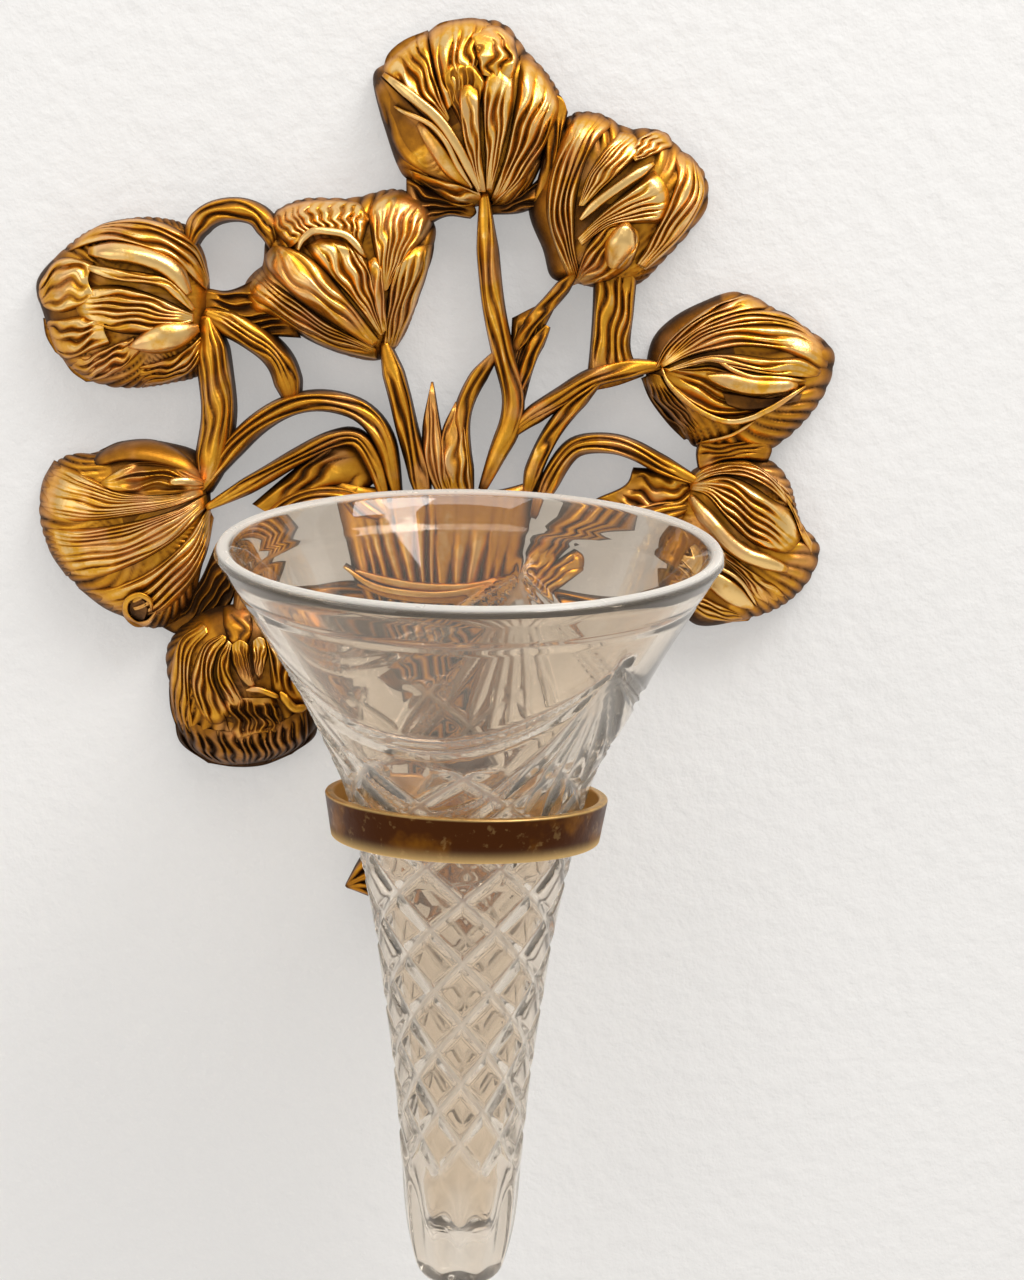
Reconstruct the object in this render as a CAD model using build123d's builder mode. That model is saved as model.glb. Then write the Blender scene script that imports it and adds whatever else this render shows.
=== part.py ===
from build123d import *
import math
import os

os.makedirs("parts", exist_ok=True)

# Wall vase: a cast brass bouquet of tulips hangs on the wall, and a brass hoop on its
# front carries a loose cut-glass trumpet vase. +Z is up, the wall is the plane y = 0
# and the room is on the -Y side. The origin is the centre of the hanging hole.

# Overall size of the bouquet, and the view that its outlines are traced in
BOUQUET_WIDTH = 190.0
BOUQUET_WIDTH_PX = 801
FOCAL_PX = 2400
CENTRE_U_PX = 512
CENTRE_V_PX = 640
VIEW_DISTANCE = FOCAL_PX * BOUQUET_WIDTH / BOUQUET_WIDTH_PX
VIEW_X_SHARE = 0.07316
VIEW_Z_SHARE = -0.33316
VIEW_X = VIEW_X_SHARE * BOUQUET_WIDTH
VIEW_Z = VIEW_Z_SHARE * BOUQUET_WIDTH
VIEW_PITCH = math.radians(7.16)
VIEW_ROLL = math.radians(1.97)
OUTLINE_DEPTH = 3.0

# Relief of the casting, measured from the wall
TULIP_DEPTH = 12.0
PETAL_DEPTH = 14.5
LEAF_DEPTH = 10.0
WEB_DEPTH = 4.0
BACKING_DEPTH = 5.0
TIE_DEPTH = 12.0
STEM_AXIS_DEPTH = 5.0
STEM_PX_TO_MM = BOUQUET_WIDTH / BOUQUET_WIDTH_PX
HOLLOW_DEPTH = 8.0

# Shares of a pillow's depth and of its outline, from the wall side to the crown
PILLOW_DEPTH_SHARES = (0.0, 0.3, 0.7, 0.93, 1.0)
PILLOW_OUTLINE_SHARES = (0.97, 1.0, 0.88, 0.66, 0.36)
HOLLOW_OUTLINE_SHARES = (0.6, 0.58, 0.5, 0.36, 0.2)
PETAL_FOOT_SHARE = 0.42

# Vase in the ring: seat point on the axis at the ring's top edge, lean out of the wall
SEAT_X = 5.3
SEAT_Y = -62.0
SEAT_Z = -160.3
VASE_LEAN = math.radians(8.65)
VASE_SIDE = math.radians(-0.8)

# Vase outline as heights above the seat point and radii
GLASS_OUTSIDE = (
    (-115.7, 5.5),
    (-113.6, 9.4),
    (-107.6, 11.6),
    (-97.5, 13.0),
    (-80.0, 14.0),
    (-62.9, 15.5),
    (-48.4, 17.3),
    (-31.8, 19.5),
    (-15.5, 22.6),
    (3.9, 27.0),
    (20.8, 35.3),
    (34.0, 41.9),
    (53.5, 53.2),
)
GLASS_INSIDE = (
    (-104.0, 3.0),
    (-97.5, 6.8),
    (-80.0, 9.2),
    (-62.9, 11.2),
    (-31.8, 15.2),
    (-15.5, 18.1),
    (3.9, 22.4),
    (20.8, 30.9),
    (34.0, 37.8),
    (53.9, 49.6),
)
RIM_TOP = (55.3, 51.7)
CAVITY_END = -106.5

# Ring: an oval strap hoop, tapered inwards, that the leaning vase touches at its front
# top edge and at its back bottom edge
RING_HALF_WIDTH = 30.4
RING_HEIGHT = 9.5
RING_STRAP = 2.0
RING_TAPER = 1.6
RING_EDGE_RADIUS = 0.5
SEAT_GAP = 0.3

# Arm between the stem bundle and the ring
ARM_WIDTH = 15.0
ARM_HEIGHT = 8.0
ARM_FOOT = 9.0
BOSS_MARGIN = 1.5
SADDLE_GAP = 0.1

# Screws of the ring and of the arm
SCREW_RADIUS = 1.5
SCREW_HEAD_RADIUS = 2.7
SCREW_HEAD_HEIGHT = 1.2
SCREW_LENGTH = 9.0
SCREW_PITCH = 8.0
SCREW_FIT = 0.06
SCREW_SLOT_WIDTH = 0.6
SCREW_SLOT_DEPTH = 0.5
ARM_SCREW_LENGTH = 16.0
ARM_SCREW_SINK = 1.5
TIP_ROOM = 1.0

# Hanging plate and its rivets
PLATE_WIDTH = 22.0
PLATE_HEIGHT = 12.0
PLATE_THICKNESS = 1.6
PLATE_CORNER = 2.5
PLATE_FIT = 0.1
HANG_HOLE_RADIUS = 3.0
RIVET_PITCH = 16.0
RIVET_RADIUS = 1.25
RIVET_HEAD_RADIUS = 2.2
RIVET_HEAD_HEIGHT = 0.9
RIVET_LENGTH = 5.0
RIVET_FIT = 0.15
HANG_ROOM_WIDTH = 11.0
HANG_ROOM_HEIGHT = 16.0
HANG_ROOM_DEPTH = 9.0

# Outlines of the eight tulips, in the pixels of the view
TULIPS_PX = {
    "top": (
        (484, 208), (455, 211), (430, 192), (402, 179), (384, 135), (370, 78), (385, 60),
        (415, 36), (446, 20), (480, 16), (507, 22), (528, 48), (552, 75), (567, 108),
        (552, 145), (533, 188), (508, 208),
    ),
    "inner_left": (
        (382, 362), (350, 359), (309, 343), (272, 319), (247, 312), (242, 288), (260, 264),
        (262, 235), (270, 212), (302, 196), (352, 195), (396, 186), (428, 198), (438, 222),
        (436, 255), (419, 306), (404, 341),
    ),
    "left": (
        (212, 318), (207, 372), (172, 386), (127, 391), (92, 384), (58, 358), (41, 314),
        (34, 282), (54, 255), (86, 229), (126, 216), (162, 215), (192, 226), (210, 264),
    ),
    "inner_right": (
        (576, 286), (550, 280), (541, 252), (526, 207), (544, 160), (566, 114), (598, 110),
        (628, 125), (659, 127), (683, 147), (707, 171), (711, 203), (694, 231), (664, 264),
        (640, 286), (608, 292),
    ),
    "right": (
        (643, 374), (649, 340), (668, 318), (698, 301), (737, 289), (774, 305), (813, 329),
        (837, 352), (829, 391), (803, 427), (768, 453), (728, 456), (693, 449), (673, 423),
        (650, 397),
    ),
    "lower_right": (
        (683, 480), (704, 462), (764, 456), (790, 478), (803, 521), (822, 547), (811, 582),
        (780, 610), (735, 624), (692, 626), (672, 590), (668, 530),
    ),
    "lower_left": (
        (213, 488), (204, 453), (170, 440), (132, 437), (98, 449), (62, 454), (41, 480),
        (37, 517), (50, 556), (80, 592), (118, 617), (160, 631), (194, 600), (210, 545),
    ),
    "bottom_left": (
        (246, 602), (205, 608), (166, 642), (168, 692), (181, 737), (213, 764), (260, 764),
        (300, 748), (325, 710), (320, 652), (287, 612),
    ),
}

# Outlines of the raised petals on the tulips
PETALS_PX = {
    "top": (
        ((478, 190), (438, 173), (403, 168), (385, 133), (376, 84), (402, 96), (432, 116), (462, 152)),
        ((479, 180), (455, 128), (430, 84), (426, 46), (455, 30), (488, 31), (508, 62), (500, 122)),
        ((486, 190), (502, 140), (512, 90), (522, 56), (549, 78), (560, 108), (543, 146), (514, 180)),
        ((487, 200), (508, 178), (538, 156), (529, 186), (506, 204)),
    ),
    "inner_left": (
        ((292, 258), (274, 240), (273, 216), (303, 201), (348, 200), (360, 224), (345, 238), (312, 243)),
        ((380, 345), (344, 311), (307, 277), (302, 249), (340, 234), (369, 246), (385, 292)),
        ((379, 356), (331, 341), (281, 317), (254, 300), (263, 274), (301, 291), (346, 326)),
        ((385, 330), (378, 278), (373, 236), (397, 196), (427, 205), (433, 241), (417, 290), (401, 328)),
    ),
    "left": (
        ((208, 285), (192, 241), (159, 220), (121, 222), (82, 240), (112, 249), (151, 250), (184, 268)),
        ((203, 310), (181, 276), (136, 259), (90, 254), (110, 284), (151, 289), (181, 299)),
        ((202, 322), (166, 293), (121, 290), (93, 314), (131, 330), (171, 332)),
        ((106, 302), (76, 262), (47, 275), (42, 301), (61, 344), (98, 344)),
        ((198, 331), (161, 326), (131, 345), (101, 346), (77, 365), (121, 384), (175, 379)),
    ),
    "inner_right": (
        ((573, 272), (557, 231), (560, 171), (581, 119), (604, 117), (611, 151), (596, 201), (583, 241)),
        ((580, 262), (591, 211), (612, 161), (640, 132), (662, 141), (651, 181), (621, 215)),
        ((590, 252), (626, 215), (656, 175), (685, 156), (705, 180), (701, 210), (666, 226), (631, 234)),
        ((578, 280), (591, 246), (616, 222), (642, 223), (660, 245), (644, 272), (606, 284)),
    ),
    "right": (
        ((657, 361), (681, 326), (721, 300), (766, 306), (812, 335), (780, 350), (731, 345), (691, 352)),
        ((662, 370), (701, 355), (746, 352), (790, 361), (807, 378), (770, 404), (721, 409), (686, 395)),
        ((670, 386), (701, 408), (746, 415), (800, 400), (790, 434), (750, 447), (701, 444)),
    ),
    "lower_right": (
        ((692, 483), (731, 466), (765, 463), (789, 490), (796, 528), (760, 520), (721, 501)),
        ((693, 496), (731, 520), (771, 545), (803, 560), (790, 590), (741, 575), (706, 541)),
        ((696, 562), (721, 570), (756, 585), (769, 604), (735, 617), (701, 611)),
    ),
    "lower_left": (
        ((205, 484), (196, 458), (152, 443), (108, 452), (94, 466), (130, 478), (170, 482)),
        ((206, 490), (161, 480), (111, 485), (61, 500), (51, 530), (111, 525), (166, 515)),
        ((204, 501), (171, 530), (111, 540), (61, 560), (91, 594), (141, 600), (185, 570)),
    ),
    "bottom_left": (
        ((245, 608), (214, 626), (178, 660), (184, 719), (210, 744), (231, 690)),
        ((249, 610), (236, 671), (241, 740), (265, 755), (284, 701), (271, 646)),
        ((254, 610), (286, 641), (312, 690), (305, 735), (281, 720), (275, 661)),
    ),
}

# Leaves, webs and the tie, as outlines with the depth that each rises to
LEAVES_PX = (
    ((432, 380), (424, 425), (428, 480), (448, 500), (470, 485), (466, 440), (456, 406), (443, 396)),
    ((345, 885), (362, 852), (392, 828), (402, 868), (392, 900), (366, 904)),
    ((498, 604), (512, 572), (546, 542), (557, 560), (536, 592), (516, 606)),
    ((508, 602), (538, 570), (572, 548), (590, 562), (582, 585), (550, 603), (524, 612)),
)
WEBS_PX = (
    ((512, 318), (560, 296), (548, 326), (527, 366), (518, 402), (508, 372)),
    ((612, 470), (640, 466), (690, 478), (692, 512), (655, 531), (614, 526), (604, 498)),
    ((214, 548), (230, 553), (237, 575), (233, 598), (218, 622), (192, 636), (170, 610), (196, 570)),
    ((203, 284), (236, 287), (262, 272), (288, 300), (300, 338), (262, 330), (212, 326)),
    ((300, 486), (330, 452), (356, 450), (372, 478), (372, 510), (330, 506)),
    ((636, 372), (650, 352), (664, 372), (664, 412), (636, 392)),
    ((298, 592), (345, 584), (396, 590), (404, 700), (372, 690), (330, 666), (306, 636)),
)
TIE_PX = ((390, 578), (450, 588), (516, 576), (522, 602), (455, 614), (388, 604))

# Stems as routes with their half widths, in pixels of the view
STEMS_PX = {
    "top": (14, ((484, 196), (487, 241), (493, 302), (503, 353), (513, 394), (510, 425), (497, 455), (482, 500))),
    "top_loop": (9, ((497, 352), (474, 384), (462, 415), (462, 450), (470, 500))),
    "inner_right": (8, ((578, 272), (552, 300), (530, 325), (510, 354))),
    "inner_right_fork": (8, ((550, 322), (530, 356), (518, 396), (514, 420))),
    "between_right": (18, ((604, 272), (614, 310), (612, 345), (606, 382))),
    "right": (10, ((668, 366), (634, 368), (593, 378), (560, 398), (530, 418), (508, 436))),
    "right_branch": (9, ((602, 378), (571, 408), (550, 436), (534, 470), (526, 505))),
    "lower_right": (10, ((704, 486), (664, 466), (636, 451), (612, 444), (583, 445), (566, 456), (548, 486), (532, 525))),
    "lower_right_inner": (11, ((700, 502), (650, 522), (602, 527), (560, 546), (520, 590))),
    "lower_right_foot": (9, ((700, 604), (640, 614), (590, 609), (510, 590))),
    "inner_left": (11, ((384, 344), (398, 392), (407, 430), (418, 470), (426, 515))),
    "left_loop": (9, ((184, 234), (205, 208), (235, 200), (262, 212), (276, 244))),
    "left_down": (16, ((205, 316), (214, 370), (218, 412), (213, 450), (202, 494))),
    "left_across": (14, ((202, 311), (250, 335), (280, 362), (294, 410))),
    "arch_outer": (11, ((198, 491), (238, 442), (270, 415), (302, 402), (334, 402), (364, 414), (384, 442), (398, 510))),
    "arch_inner": (9, ((206, 509), (258, 480), (298, 456), (330, 440), (356, 438), (374, 464), (388, 520))),
    "bottom_left": (12, ((240, 616), (262, 560), (287, 517), (330, 504), (398, 528))),
    "bottom_left_foot": (9, ((236, 616), (300, 603), (350, 598), (410, 592))),
}
BUNDLE_HALF_WIDTH_PX = 8
BUNDLE_PX = (
    ((388, 500), (396, 590), (410, 680), (408, 760), (388, 840), (366, 886)),
    ((410, 496), (416, 590), (428, 680), (426, 760), (410, 840), (397, 894)),
    ((434, 494), (437, 590), (446, 680), (444, 760), (434, 840), (429, 898)),
    ((460, 494), (458, 590), (464, 680), (462, 760), (460, 840), (464, 899)),
    ((486, 494), (479, 590), (482, 680), (480, 760), (488, 840), (499, 896)),
    ((512, 498), (500, 590), (498, 680), (497, 760), (514, 840), (530, 888)),
)
# Broad plate behind the bundled stems, with straight edges
BACKING_PX = (
    (338, 480), (354, 515), (370, 560), (386, 600), (400, 680), (398, 760), (376, 846), (352, 896),
    (400, 908), (470, 912), (545, 896), (526, 836), (508, 760), (506, 680), (510, 600), (528, 515),
    (538, 480), (490, 488), (440, 490), (390, 486),
)


def on_relief(pixel, depth):
    """Where a pixel of the view lies on the plane at this depth in front of the wall."""
    u = (pixel[0] - CENTRE_U_PX) / FOCAL_PX
    v = (CENTRE_V_PX - pixel[1]) / FOCAL_PX
    across = u * math.cos(VIEW_ROLL) - v * math.sin(VIEW_ROLL)
    rise = u * math.sin(VIEW_ROLL) + v * math.cos(VIEW_ROLL)
    forward = math.cos(VIEW_PITCH) + rise * math.sin(VIEW_PITCH)
    upward = rise * math.cos(VIEW_PITCH) - math.sin(VIEW_PITCH)
    reach = (VIEW_DISTANCE - depth) / forward
    return VIEW_X + across * reach, VIEW_Z + upward * reach


def outline_face(pixels, depth, share):
    """Closed smooth outline on the plane at this depth, shrunk about its middle."""
    points = [on_relief(pixel, OUTLINE_DEPTH) for pixel in pixels]
    middle_x = sum(x for x, _ in points) / len(points)
    middle_z = sum(z for _, z in points) / len(points)
    placed = [
        (middle_x + share * (x - middle_x), middle_z + share * (z - middle_z))
        for x, z in points
    ]
    with BuildSketch(Plane.XZ.offset(depth)) as face:
        with BuildLine():
            Spline(*placed, periodic=True)
        make_face()
    return face.sketch


def pillow(pixels, foot, crown, outline_shares=PILLOW_OUTLINE_SHARES):
    """Rounded relief form that rises from the foot depth to the crown depth."""
    faces = [
        outline_face(pixels, foot + (crown - foot) * deep, wide)
        for deep, wide in zip(PILLOW_DEPTH_SHARES, outline_shares)
    ]
    return loft(sections=faces, mode=Mode.PRIVATE)


def slab(pixels, depth):
    """Flat web with smooth edges, from the wall to this depth."""
    return extrude(outline_face(pixels, 0, 1), amount=depth, mode=Mode.PRIVATE)


def joined(forms):
    """Forms of one casting joined into one body."""
    with BuildPart() as body:
        add(forms)
    return body.part


def stem(pixels, half_width_px):
    """Round stem along a route that lies in one plane parallel to the wall."""
    points = [on_relief(pixel, OUTLINE_DEPTH) for pixel in pixels]
    with BuildLine(Plane.XZ.offset(STEM_AXIS_DEPTH)) as route:
        Spline(*points)
    start = Plane(route.line @ 0, z_dir=route.line % 0)
    with BuildSketch(start) as section:
        Circle(half_width_px * STEM_PX_TO_MM)
    return sweep(sections=section.sketch, path=route.line, mode=Mode.PRIVATE)


def glass_radius(height):
    """Outer radius of the vase at a height above the seat point."""
    for (low, low_radius), (high, high_radius) in zip(GLASS_OUTSIDE, GLASS_OUTSIDE[1:]):
        if low <= height <= high:
            share = (height - low) / (high - low)
            return low_radius + share * (high_radius - low_radius)
    raise ValueError("height outside the vase")


def glass_reach(drop, side):
    """How far the leaning glass reaches from the seat point, at this drop below it."""
    radius = glass_radius(0)
    for _ in range(20):
        height = (side * radius * math.sin(VASE_LEAN) - drop) / math.cos(VASE_LEAN)
        radius = glass_radius(height)
    return height * side * math.sin(VASE_LEAN) + radius * math.cos(VASE_LEAN)


# Places that follow from the vase
FRONT_REACH = glass_reach(0, 1) + SEAT_GAP
BACK_REACH = glass_reach(RING_HEIGHT, -1) + SEAT_GAP
RING_HALF_DEPTH = (FRONT_REACH + BACK_REACH + RING_TAPER) / 2 + RING_STRAP
RING_Y = SEAT_Y - FRONT_REACH + RING_HALF_DEPTH - RING_STRAP
RING_MIDDLE_Z = SEAT_Z - RING_HEIGHT / 2
INNER_HALF_DEPTH = RING_HALF_DEPTH - RING_STRAP - RING_TAPER / 2
INNER_HALF_WIDTH = RING_HALF_WIDTH - RING_STRAP - RING_TAPER / 2
SCREW_OFFSETS = (-SCREW_PITCH / 2, SCREW_PITCH / 2)
SCREW_CURVE_SHARE = math.sqrt(1 - (SCREW_OFFSETS[0] / INNER_HALF_WIDTH) ** 2)
RING_SCREW_Y = RING_Y + INNER_HALF_DEPTH * SCREW_CURVE_SHARE
RIVET_OFFSETS = (-RIVET_PITCH / 2, RIVET_PITCH / 2)


def ring_form(growth):
    """Oval tapered plug whose outside is the ring's outside, grown by this much."""
    middle = (SEAT_X, RING_Y)
    with BuildSketch(Plane.XY.offset(SEAT_Z)) as top:
        with Locations(middle):
            Ellipse(RING_HALF_WIDTH + growth, RING_HALF_DEPTH + growth)
    low = growth - RING_TAPER
    with BuildSketch(Plane.XY.offset(SEAT_Z - RING_HEIGHT)) as bottom:
        with Locations(middle):
            Ellipse(RING_HALF_WIDTH + low, RING_HALF_DEPTH + low)
    return loft(sections=[top.sketch, bottom.sketch], mode=Mode.PRIVATE)


def countersunk(seat, radius, head_radius, head_height, length, slotted):
    """Fastener whose flat head face lies on the seat plane, with its shank behind it."""
    with BuildPart() as fastener:
        with BuildSketch(seat, mode=Mode.PRIVATE) as face:
            Circle(head_radius)
        with BuildSketch(seat.offset(-head_height), mode=Mode.PRIVATE) as neck:
            Circle(radius)
        loft(sections=[face.sketch, neck.sketch])
        extrude(neck.sketch, amount=head_height - length)
        if slotted:
            with BuildSketch(seat):
                Rectangle(head_radius * 3, SCREW_SLOT_WIDTH)
            extrude(amount=-SCREW_SLOT_DEPTH, mode=Mode.SUBTRACT)
    return fastener.part


def facing_room(x, y, z):
    """Plane through a point, facing away from the wall."""
    return Plane(origin=(x, y, z), x_dir=(1, 0, 0), z_dir=(0, -1, 0))


def facing_wall(x, y, z):
    """Plane through a point, facing the wall."""
    return Plane(origin=(x, y, z), x_dir=(1, 0, 0), z_dir=(0, 1, 0))


# Bouquet: flowers, stems, webs and leaves joined into one casting with a flat back
flowers = []
for name, outline in TULIPS_PX.items():
    petals = [pillow(petal, PETAL_DEPTH * PETAL_FOOT_SHARE, PETAL_DEPTH) for petal in PETALS_PX[name]]
    flowers.append(joined([pillow(outline, 0, TULIP_DEPTH), *petals]))
stems = joined([stem(pixels, half_width) for half_width, pixels in STEMS_PX.values()])
webs = joined([slab(web, WEB_DEPTH) for web in WEBS_PX])
leaves = [pillow(leaf, 0, LEAF_DEPTH) for leaf in LEAVES_PX]
with BuildPart() as bouquet_casting:
    with BuildSketch(Plane.XZ):
        with BuildLine():
            Polyline(*[on_relief(pixel, OUTLINE_DEPTH) for pixel in BACKING_PX], close=True)
        make_face()
    extrude(amount=BACKING_DEPTH)
    add([stem(pixels, BUNDLE_HALF_WIDTH_PX) for pixels in BUNDLE_PX])
    add([webs, *flowers])
    add(stems)
    add([*leaves, pillow(TIE_PX, 0, TIE_DEPTH)])
    # Boss that carries the arm
    with BuildSketch(Plane.XZ):
        with Locations((SEAT_X, RING_MIDDLE_Z)):
            Rectangle(ARM_WIDTH + 2 * BOSS_MARGIN, ARM_HEIGHT + 2 * BOSS_MARGIN)
    extrude(amount=ARM_FOOT)
    with BuildSketch(Plane.XZ):
        Rectangle(BOUQUET_WIDTH * 3, BOUQUET_WIDTH * 3)
    extrude(amount=-BOUQUET_WIDTH, mode=Mode.SUBTRACT)
    # Hollow backs of the flowers below the top one
    for name, outline in TULIPS_PX.items():
        if name != "top":
            add(pillow(outline, 0, HOLLOW_DEPTH, HOLLOW_OUTLINE_SHARES), mode=Mode.SUBTRACT)
    # Seat of the hanging plate, the room behind its hole, and its rivet holes
    with BuildSketch(Plane.XZ):
        RectangleRounded(PLATE_WIDTH + 2 * PLATE_FIT, PLATE_HEIGHT + 2 * PLATE_FIT, PLATE_CORNER)
    extrude(amount=PLATE_THICKNESS, mode=Mode.SUBTRACT)
    with BuildSketch(Plane.XZ):
        RectangleRounded(HANG_ROOM_WIDTH, HANG_ROOM_HEIGHT, PLATE_CORNER)
    extrude(amount=HANG_ROOM_DEPTH, mode=Mode.SUBTRACT)
    with BuildSketch(Plane.XZ):
        for offset_x in RIVET_OFFSETS:
            with Locations((offset_x, 0)):
                Circle(RIVET_RADIUS + RIVET_FIT)
    extrude(amount=RIVET_LENGTH + RIVET_FIT, mode=Mode.SUBTRACT)
    # Holes of the arm's screws, sunk at the back
    for offset_x in SCREW_OFFSETS:
        with Locations(facing_wall(SEAT_X + offset_x, -ARM_SCREW_SINK, RING_MIDDLE_Z)):
            CounterSinkHole(SCREW_RADIUS + SCREW_FIT, SCREW_HEAD_RADIUS + SCREW_FIT, ARM_FOOT * 2)
        with BuildSketch(Plane.XZ):
            with Locations((SEAT_X + offset_x, RING_MIDDLE_Z)):
                Circle(SCREW_HEAD_RADIUS + SCREW_FIT)
        extrude(amount=ARM_SCREW_SINK, mode=Mode.SUBTRACT)
bouquet_casting.part.label = "bouquet_casting"
export_step(bouquet_casting.part, "parts/bouquet_casting.step")

# Hanging plate: rounded brass plate, let in flush, with the hole for the wall hook
with BuildPart() as hanging_plate:
    with BuildSketch(Plane.XZ):
        RectangleRounded(PLATE_WIDTH, PLATE_HEIGHT, PLATE_CORNER)
        Circle(HANG_HOLE_RADIUS, mode=Mode.SUBTRACT)
    extrude(amount=PLATE_THICKNESS)
    for offset_x in RIVET_OFFSETS:
        with Locations(facing_wall(offset_x, 0, 0)):
            CounterSinkHole(RIVET_RADIUS + RIVET_FIT, RIVET_HEAD_RADIUS + RIVET_FIT, RIVET_LENGTH)
hanging_plate.part.label = "hanging_plate"
export_step(hanging_plate.part, "parts/hanging_plate.step")

# Plate rivets: countersunk, flush with the plate's back
with BuildPart() as plate_rivets:
    for offset_x in RIVET_OFFSETS:
        seat = facing_wall(offset_x, 0, 0)
        add(countersunk(seat, RIVET_RADIUS, RIVET_HEAD_RADIUS, RIVET_HEAD_HEIGHT, RIVET_LENGTH, False))
plate_rivets.part.label = "plate_rivets"
export_step(plate_rivets.part, "parts/plate_rivets.step")

# Holder ring: oval strap hoop with eased edges and two sunk holes at its back
with BuildPart() as holder_ring:
    add(ring_form(0))
    add(ring_form(-RING_STRAP), mode=Mode.SUBTRACT)
    fillet(holder_ring.edges().filter_by(GeomType.BSPLINE, reverse=True), RING_EDGE_RADIUS)
    for offset_x in SCREW_OFFSETS:
        with Locations(facing_room(SEAT_X + offset_x, RING_SCREW_Y, RING_MIDDLE_Z)):
            CounterSinkHole(SCREW_RADIUS + SCREW_FIT, SCREW_HEAD_RADIUS + SCREW_FIT, RING_STRAP * 3)
holder_ring.part.label = "holder_ring"
export_step(holder_ring.part, "parts/holder_ring.step")

# Ring arm: square brass bar from the boss to the ring, saddled to the ring's outside
ARM_REACH = -(RING_Y + RING_HALF_DEPTH / 2)
with BuildPart() as ring_arm:
    with BuildSketch(Plane.XZ.offset(ARM_FOOT)):
        with Locations((SEAT_X, RING_MIDDLE_Z)):
            Rectangle(ARM_WIDTH, ARM_HEIGHT)
    extrude(amount=ARM_REACH - ARM_FOOT)
    add(ring_form(SADDLE_GAP), mode=Mode.SUBTRACT)
    for offset_x in SCREW_OFFSETS:
        with BuildSketch(Plane.XZ.offset(-RING_SCREW_Y - SCREW_LENGTH - TIP_ROOM)):
            with Locations((SEAT_X + offset_x, RING_MIDDLE_Z)):
                Circle(SCREW_RADIUS + SCREW_FIT)
        extrude(amount=SCREW_LENGTH + TIP_ROOM, mode=Mode.SUBTRACT)
        with BuildSketch(Plane.XZ.offset(ARM_FOOT)):
            with Locations((SEAT_X + offset_x, RING_MIDDLE_Z)):
                Circle(SCREW_RADIUS + SCREW_FIT)
        extrude(amount=ARM_SCREW_SINK + ARM_SCREW_LENGTH + TIP_ROOM - ARM_FOOT, mode=Mode.SUBTRACT)
ring_arm.part.label = "ring_arm"
export_step(ring_arm.part, "parts/ring_arm.step")

# Ring screws: slotted and countersunk, flush inside the ring
with BuildPart() as ring_screws:
    for offset_x in SCREW_OFFSETS:
        seat = facing_room(SEAT_X + offset_x, RING_SCREW_Y, RING_MIDDLE_Z)
        add(countersunk(seat, SCREW_RADIUS, SCREW_HEAD_RADIUS, SCREW_HEAD_HEIGHT, SCREW_LENGTH, True))
ring_screws.part.label = "ring_screws"
export_step(ring_screws.part, "parts/ring_screws.step")

# Arm screws: slotted and countersunk, sunk below the casting's back
with BuildPart() as arm_screws:
    for offset_x in SCREW_OFFSETS:
        seat = facing_wall(SEAT_X + offset_x, -ARM_SCREW_SINK, RING_MIDDLE_Z)
        add(countersunk(seat, SCREW_RADIUS, SCREW_HEAD_RADIUS, SCREW_HEAD_HEIGHT, ARM_SCREW_LENGTH, True))
arm_screws.part.label = "arm_screws"
export_step(arm_screws.part, "parts/arm_screws.step")

# Glass vase: turned about its leaning axis, with a thick solid foot
lean_axis = Vector(math.sin(VASE_SIDE), -math.sin(VASE_LEAN), math.cos(VASE_LEAN)).normalized()
lean_side = Vector(0, 1, 0).cross(lean_axis).normalized()
vase_plane = Plane(origin=(SEAT_X, SEAT_Y, SEAT_Z), x_dir=lean_side, z_dir=lean_side.cross(lean_axis))
with BuildPart() as glass_vase:
    with BuildSketch(vase_plane):
        with BuildLine():
            outside = Spline(*[(radius, height) for height, radius in GLASS_OUTSIDE])
            inside = Spline(*[(radius, height) for height, radius in GLASS_INSIDE])
            ThreePointArc(outside @ 1, (RIM_TOP[1], RIM_TOP[0]), inside @ 1)
            Polyline(outside @ 0, (0, GLASS_OUTSIDE[0][0]), (0, CAVITY_END), inside @ 0)
        make_face()
    revolve(axis=Axis(vase_plane.origin, lean_axis))
glass_vase.part.label = "glass_vase"
export_step(glass_vase.part, "parts/glass_vase.step")
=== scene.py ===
import math

import bmesh
import bpy
import numpy as np
from mathutils import Matrix, Vector


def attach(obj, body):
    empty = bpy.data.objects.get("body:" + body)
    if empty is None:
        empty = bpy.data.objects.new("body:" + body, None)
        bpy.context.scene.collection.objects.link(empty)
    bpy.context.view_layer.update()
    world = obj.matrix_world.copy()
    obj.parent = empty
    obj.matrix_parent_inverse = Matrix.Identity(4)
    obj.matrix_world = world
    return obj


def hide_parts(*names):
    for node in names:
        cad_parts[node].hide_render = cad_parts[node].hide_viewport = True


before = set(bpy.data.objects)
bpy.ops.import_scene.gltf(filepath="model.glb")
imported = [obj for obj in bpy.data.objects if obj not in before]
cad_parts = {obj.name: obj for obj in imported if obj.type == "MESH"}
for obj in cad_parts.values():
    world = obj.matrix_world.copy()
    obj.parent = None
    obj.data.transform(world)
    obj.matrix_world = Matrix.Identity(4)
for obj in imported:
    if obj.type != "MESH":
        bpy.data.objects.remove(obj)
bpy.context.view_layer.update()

bl_info = {
    "name": "Tulip Wall Vase",
    "version": (1, 0, 0),
    "blender": (4, 5, 0),
    "location": "View3D > Sidebar > Wall Vase",
    "description": "Cast brass tulip bouquet with a cut glass vase in its hoop",
    "category": "Object",
}

MM = 0.001

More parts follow.
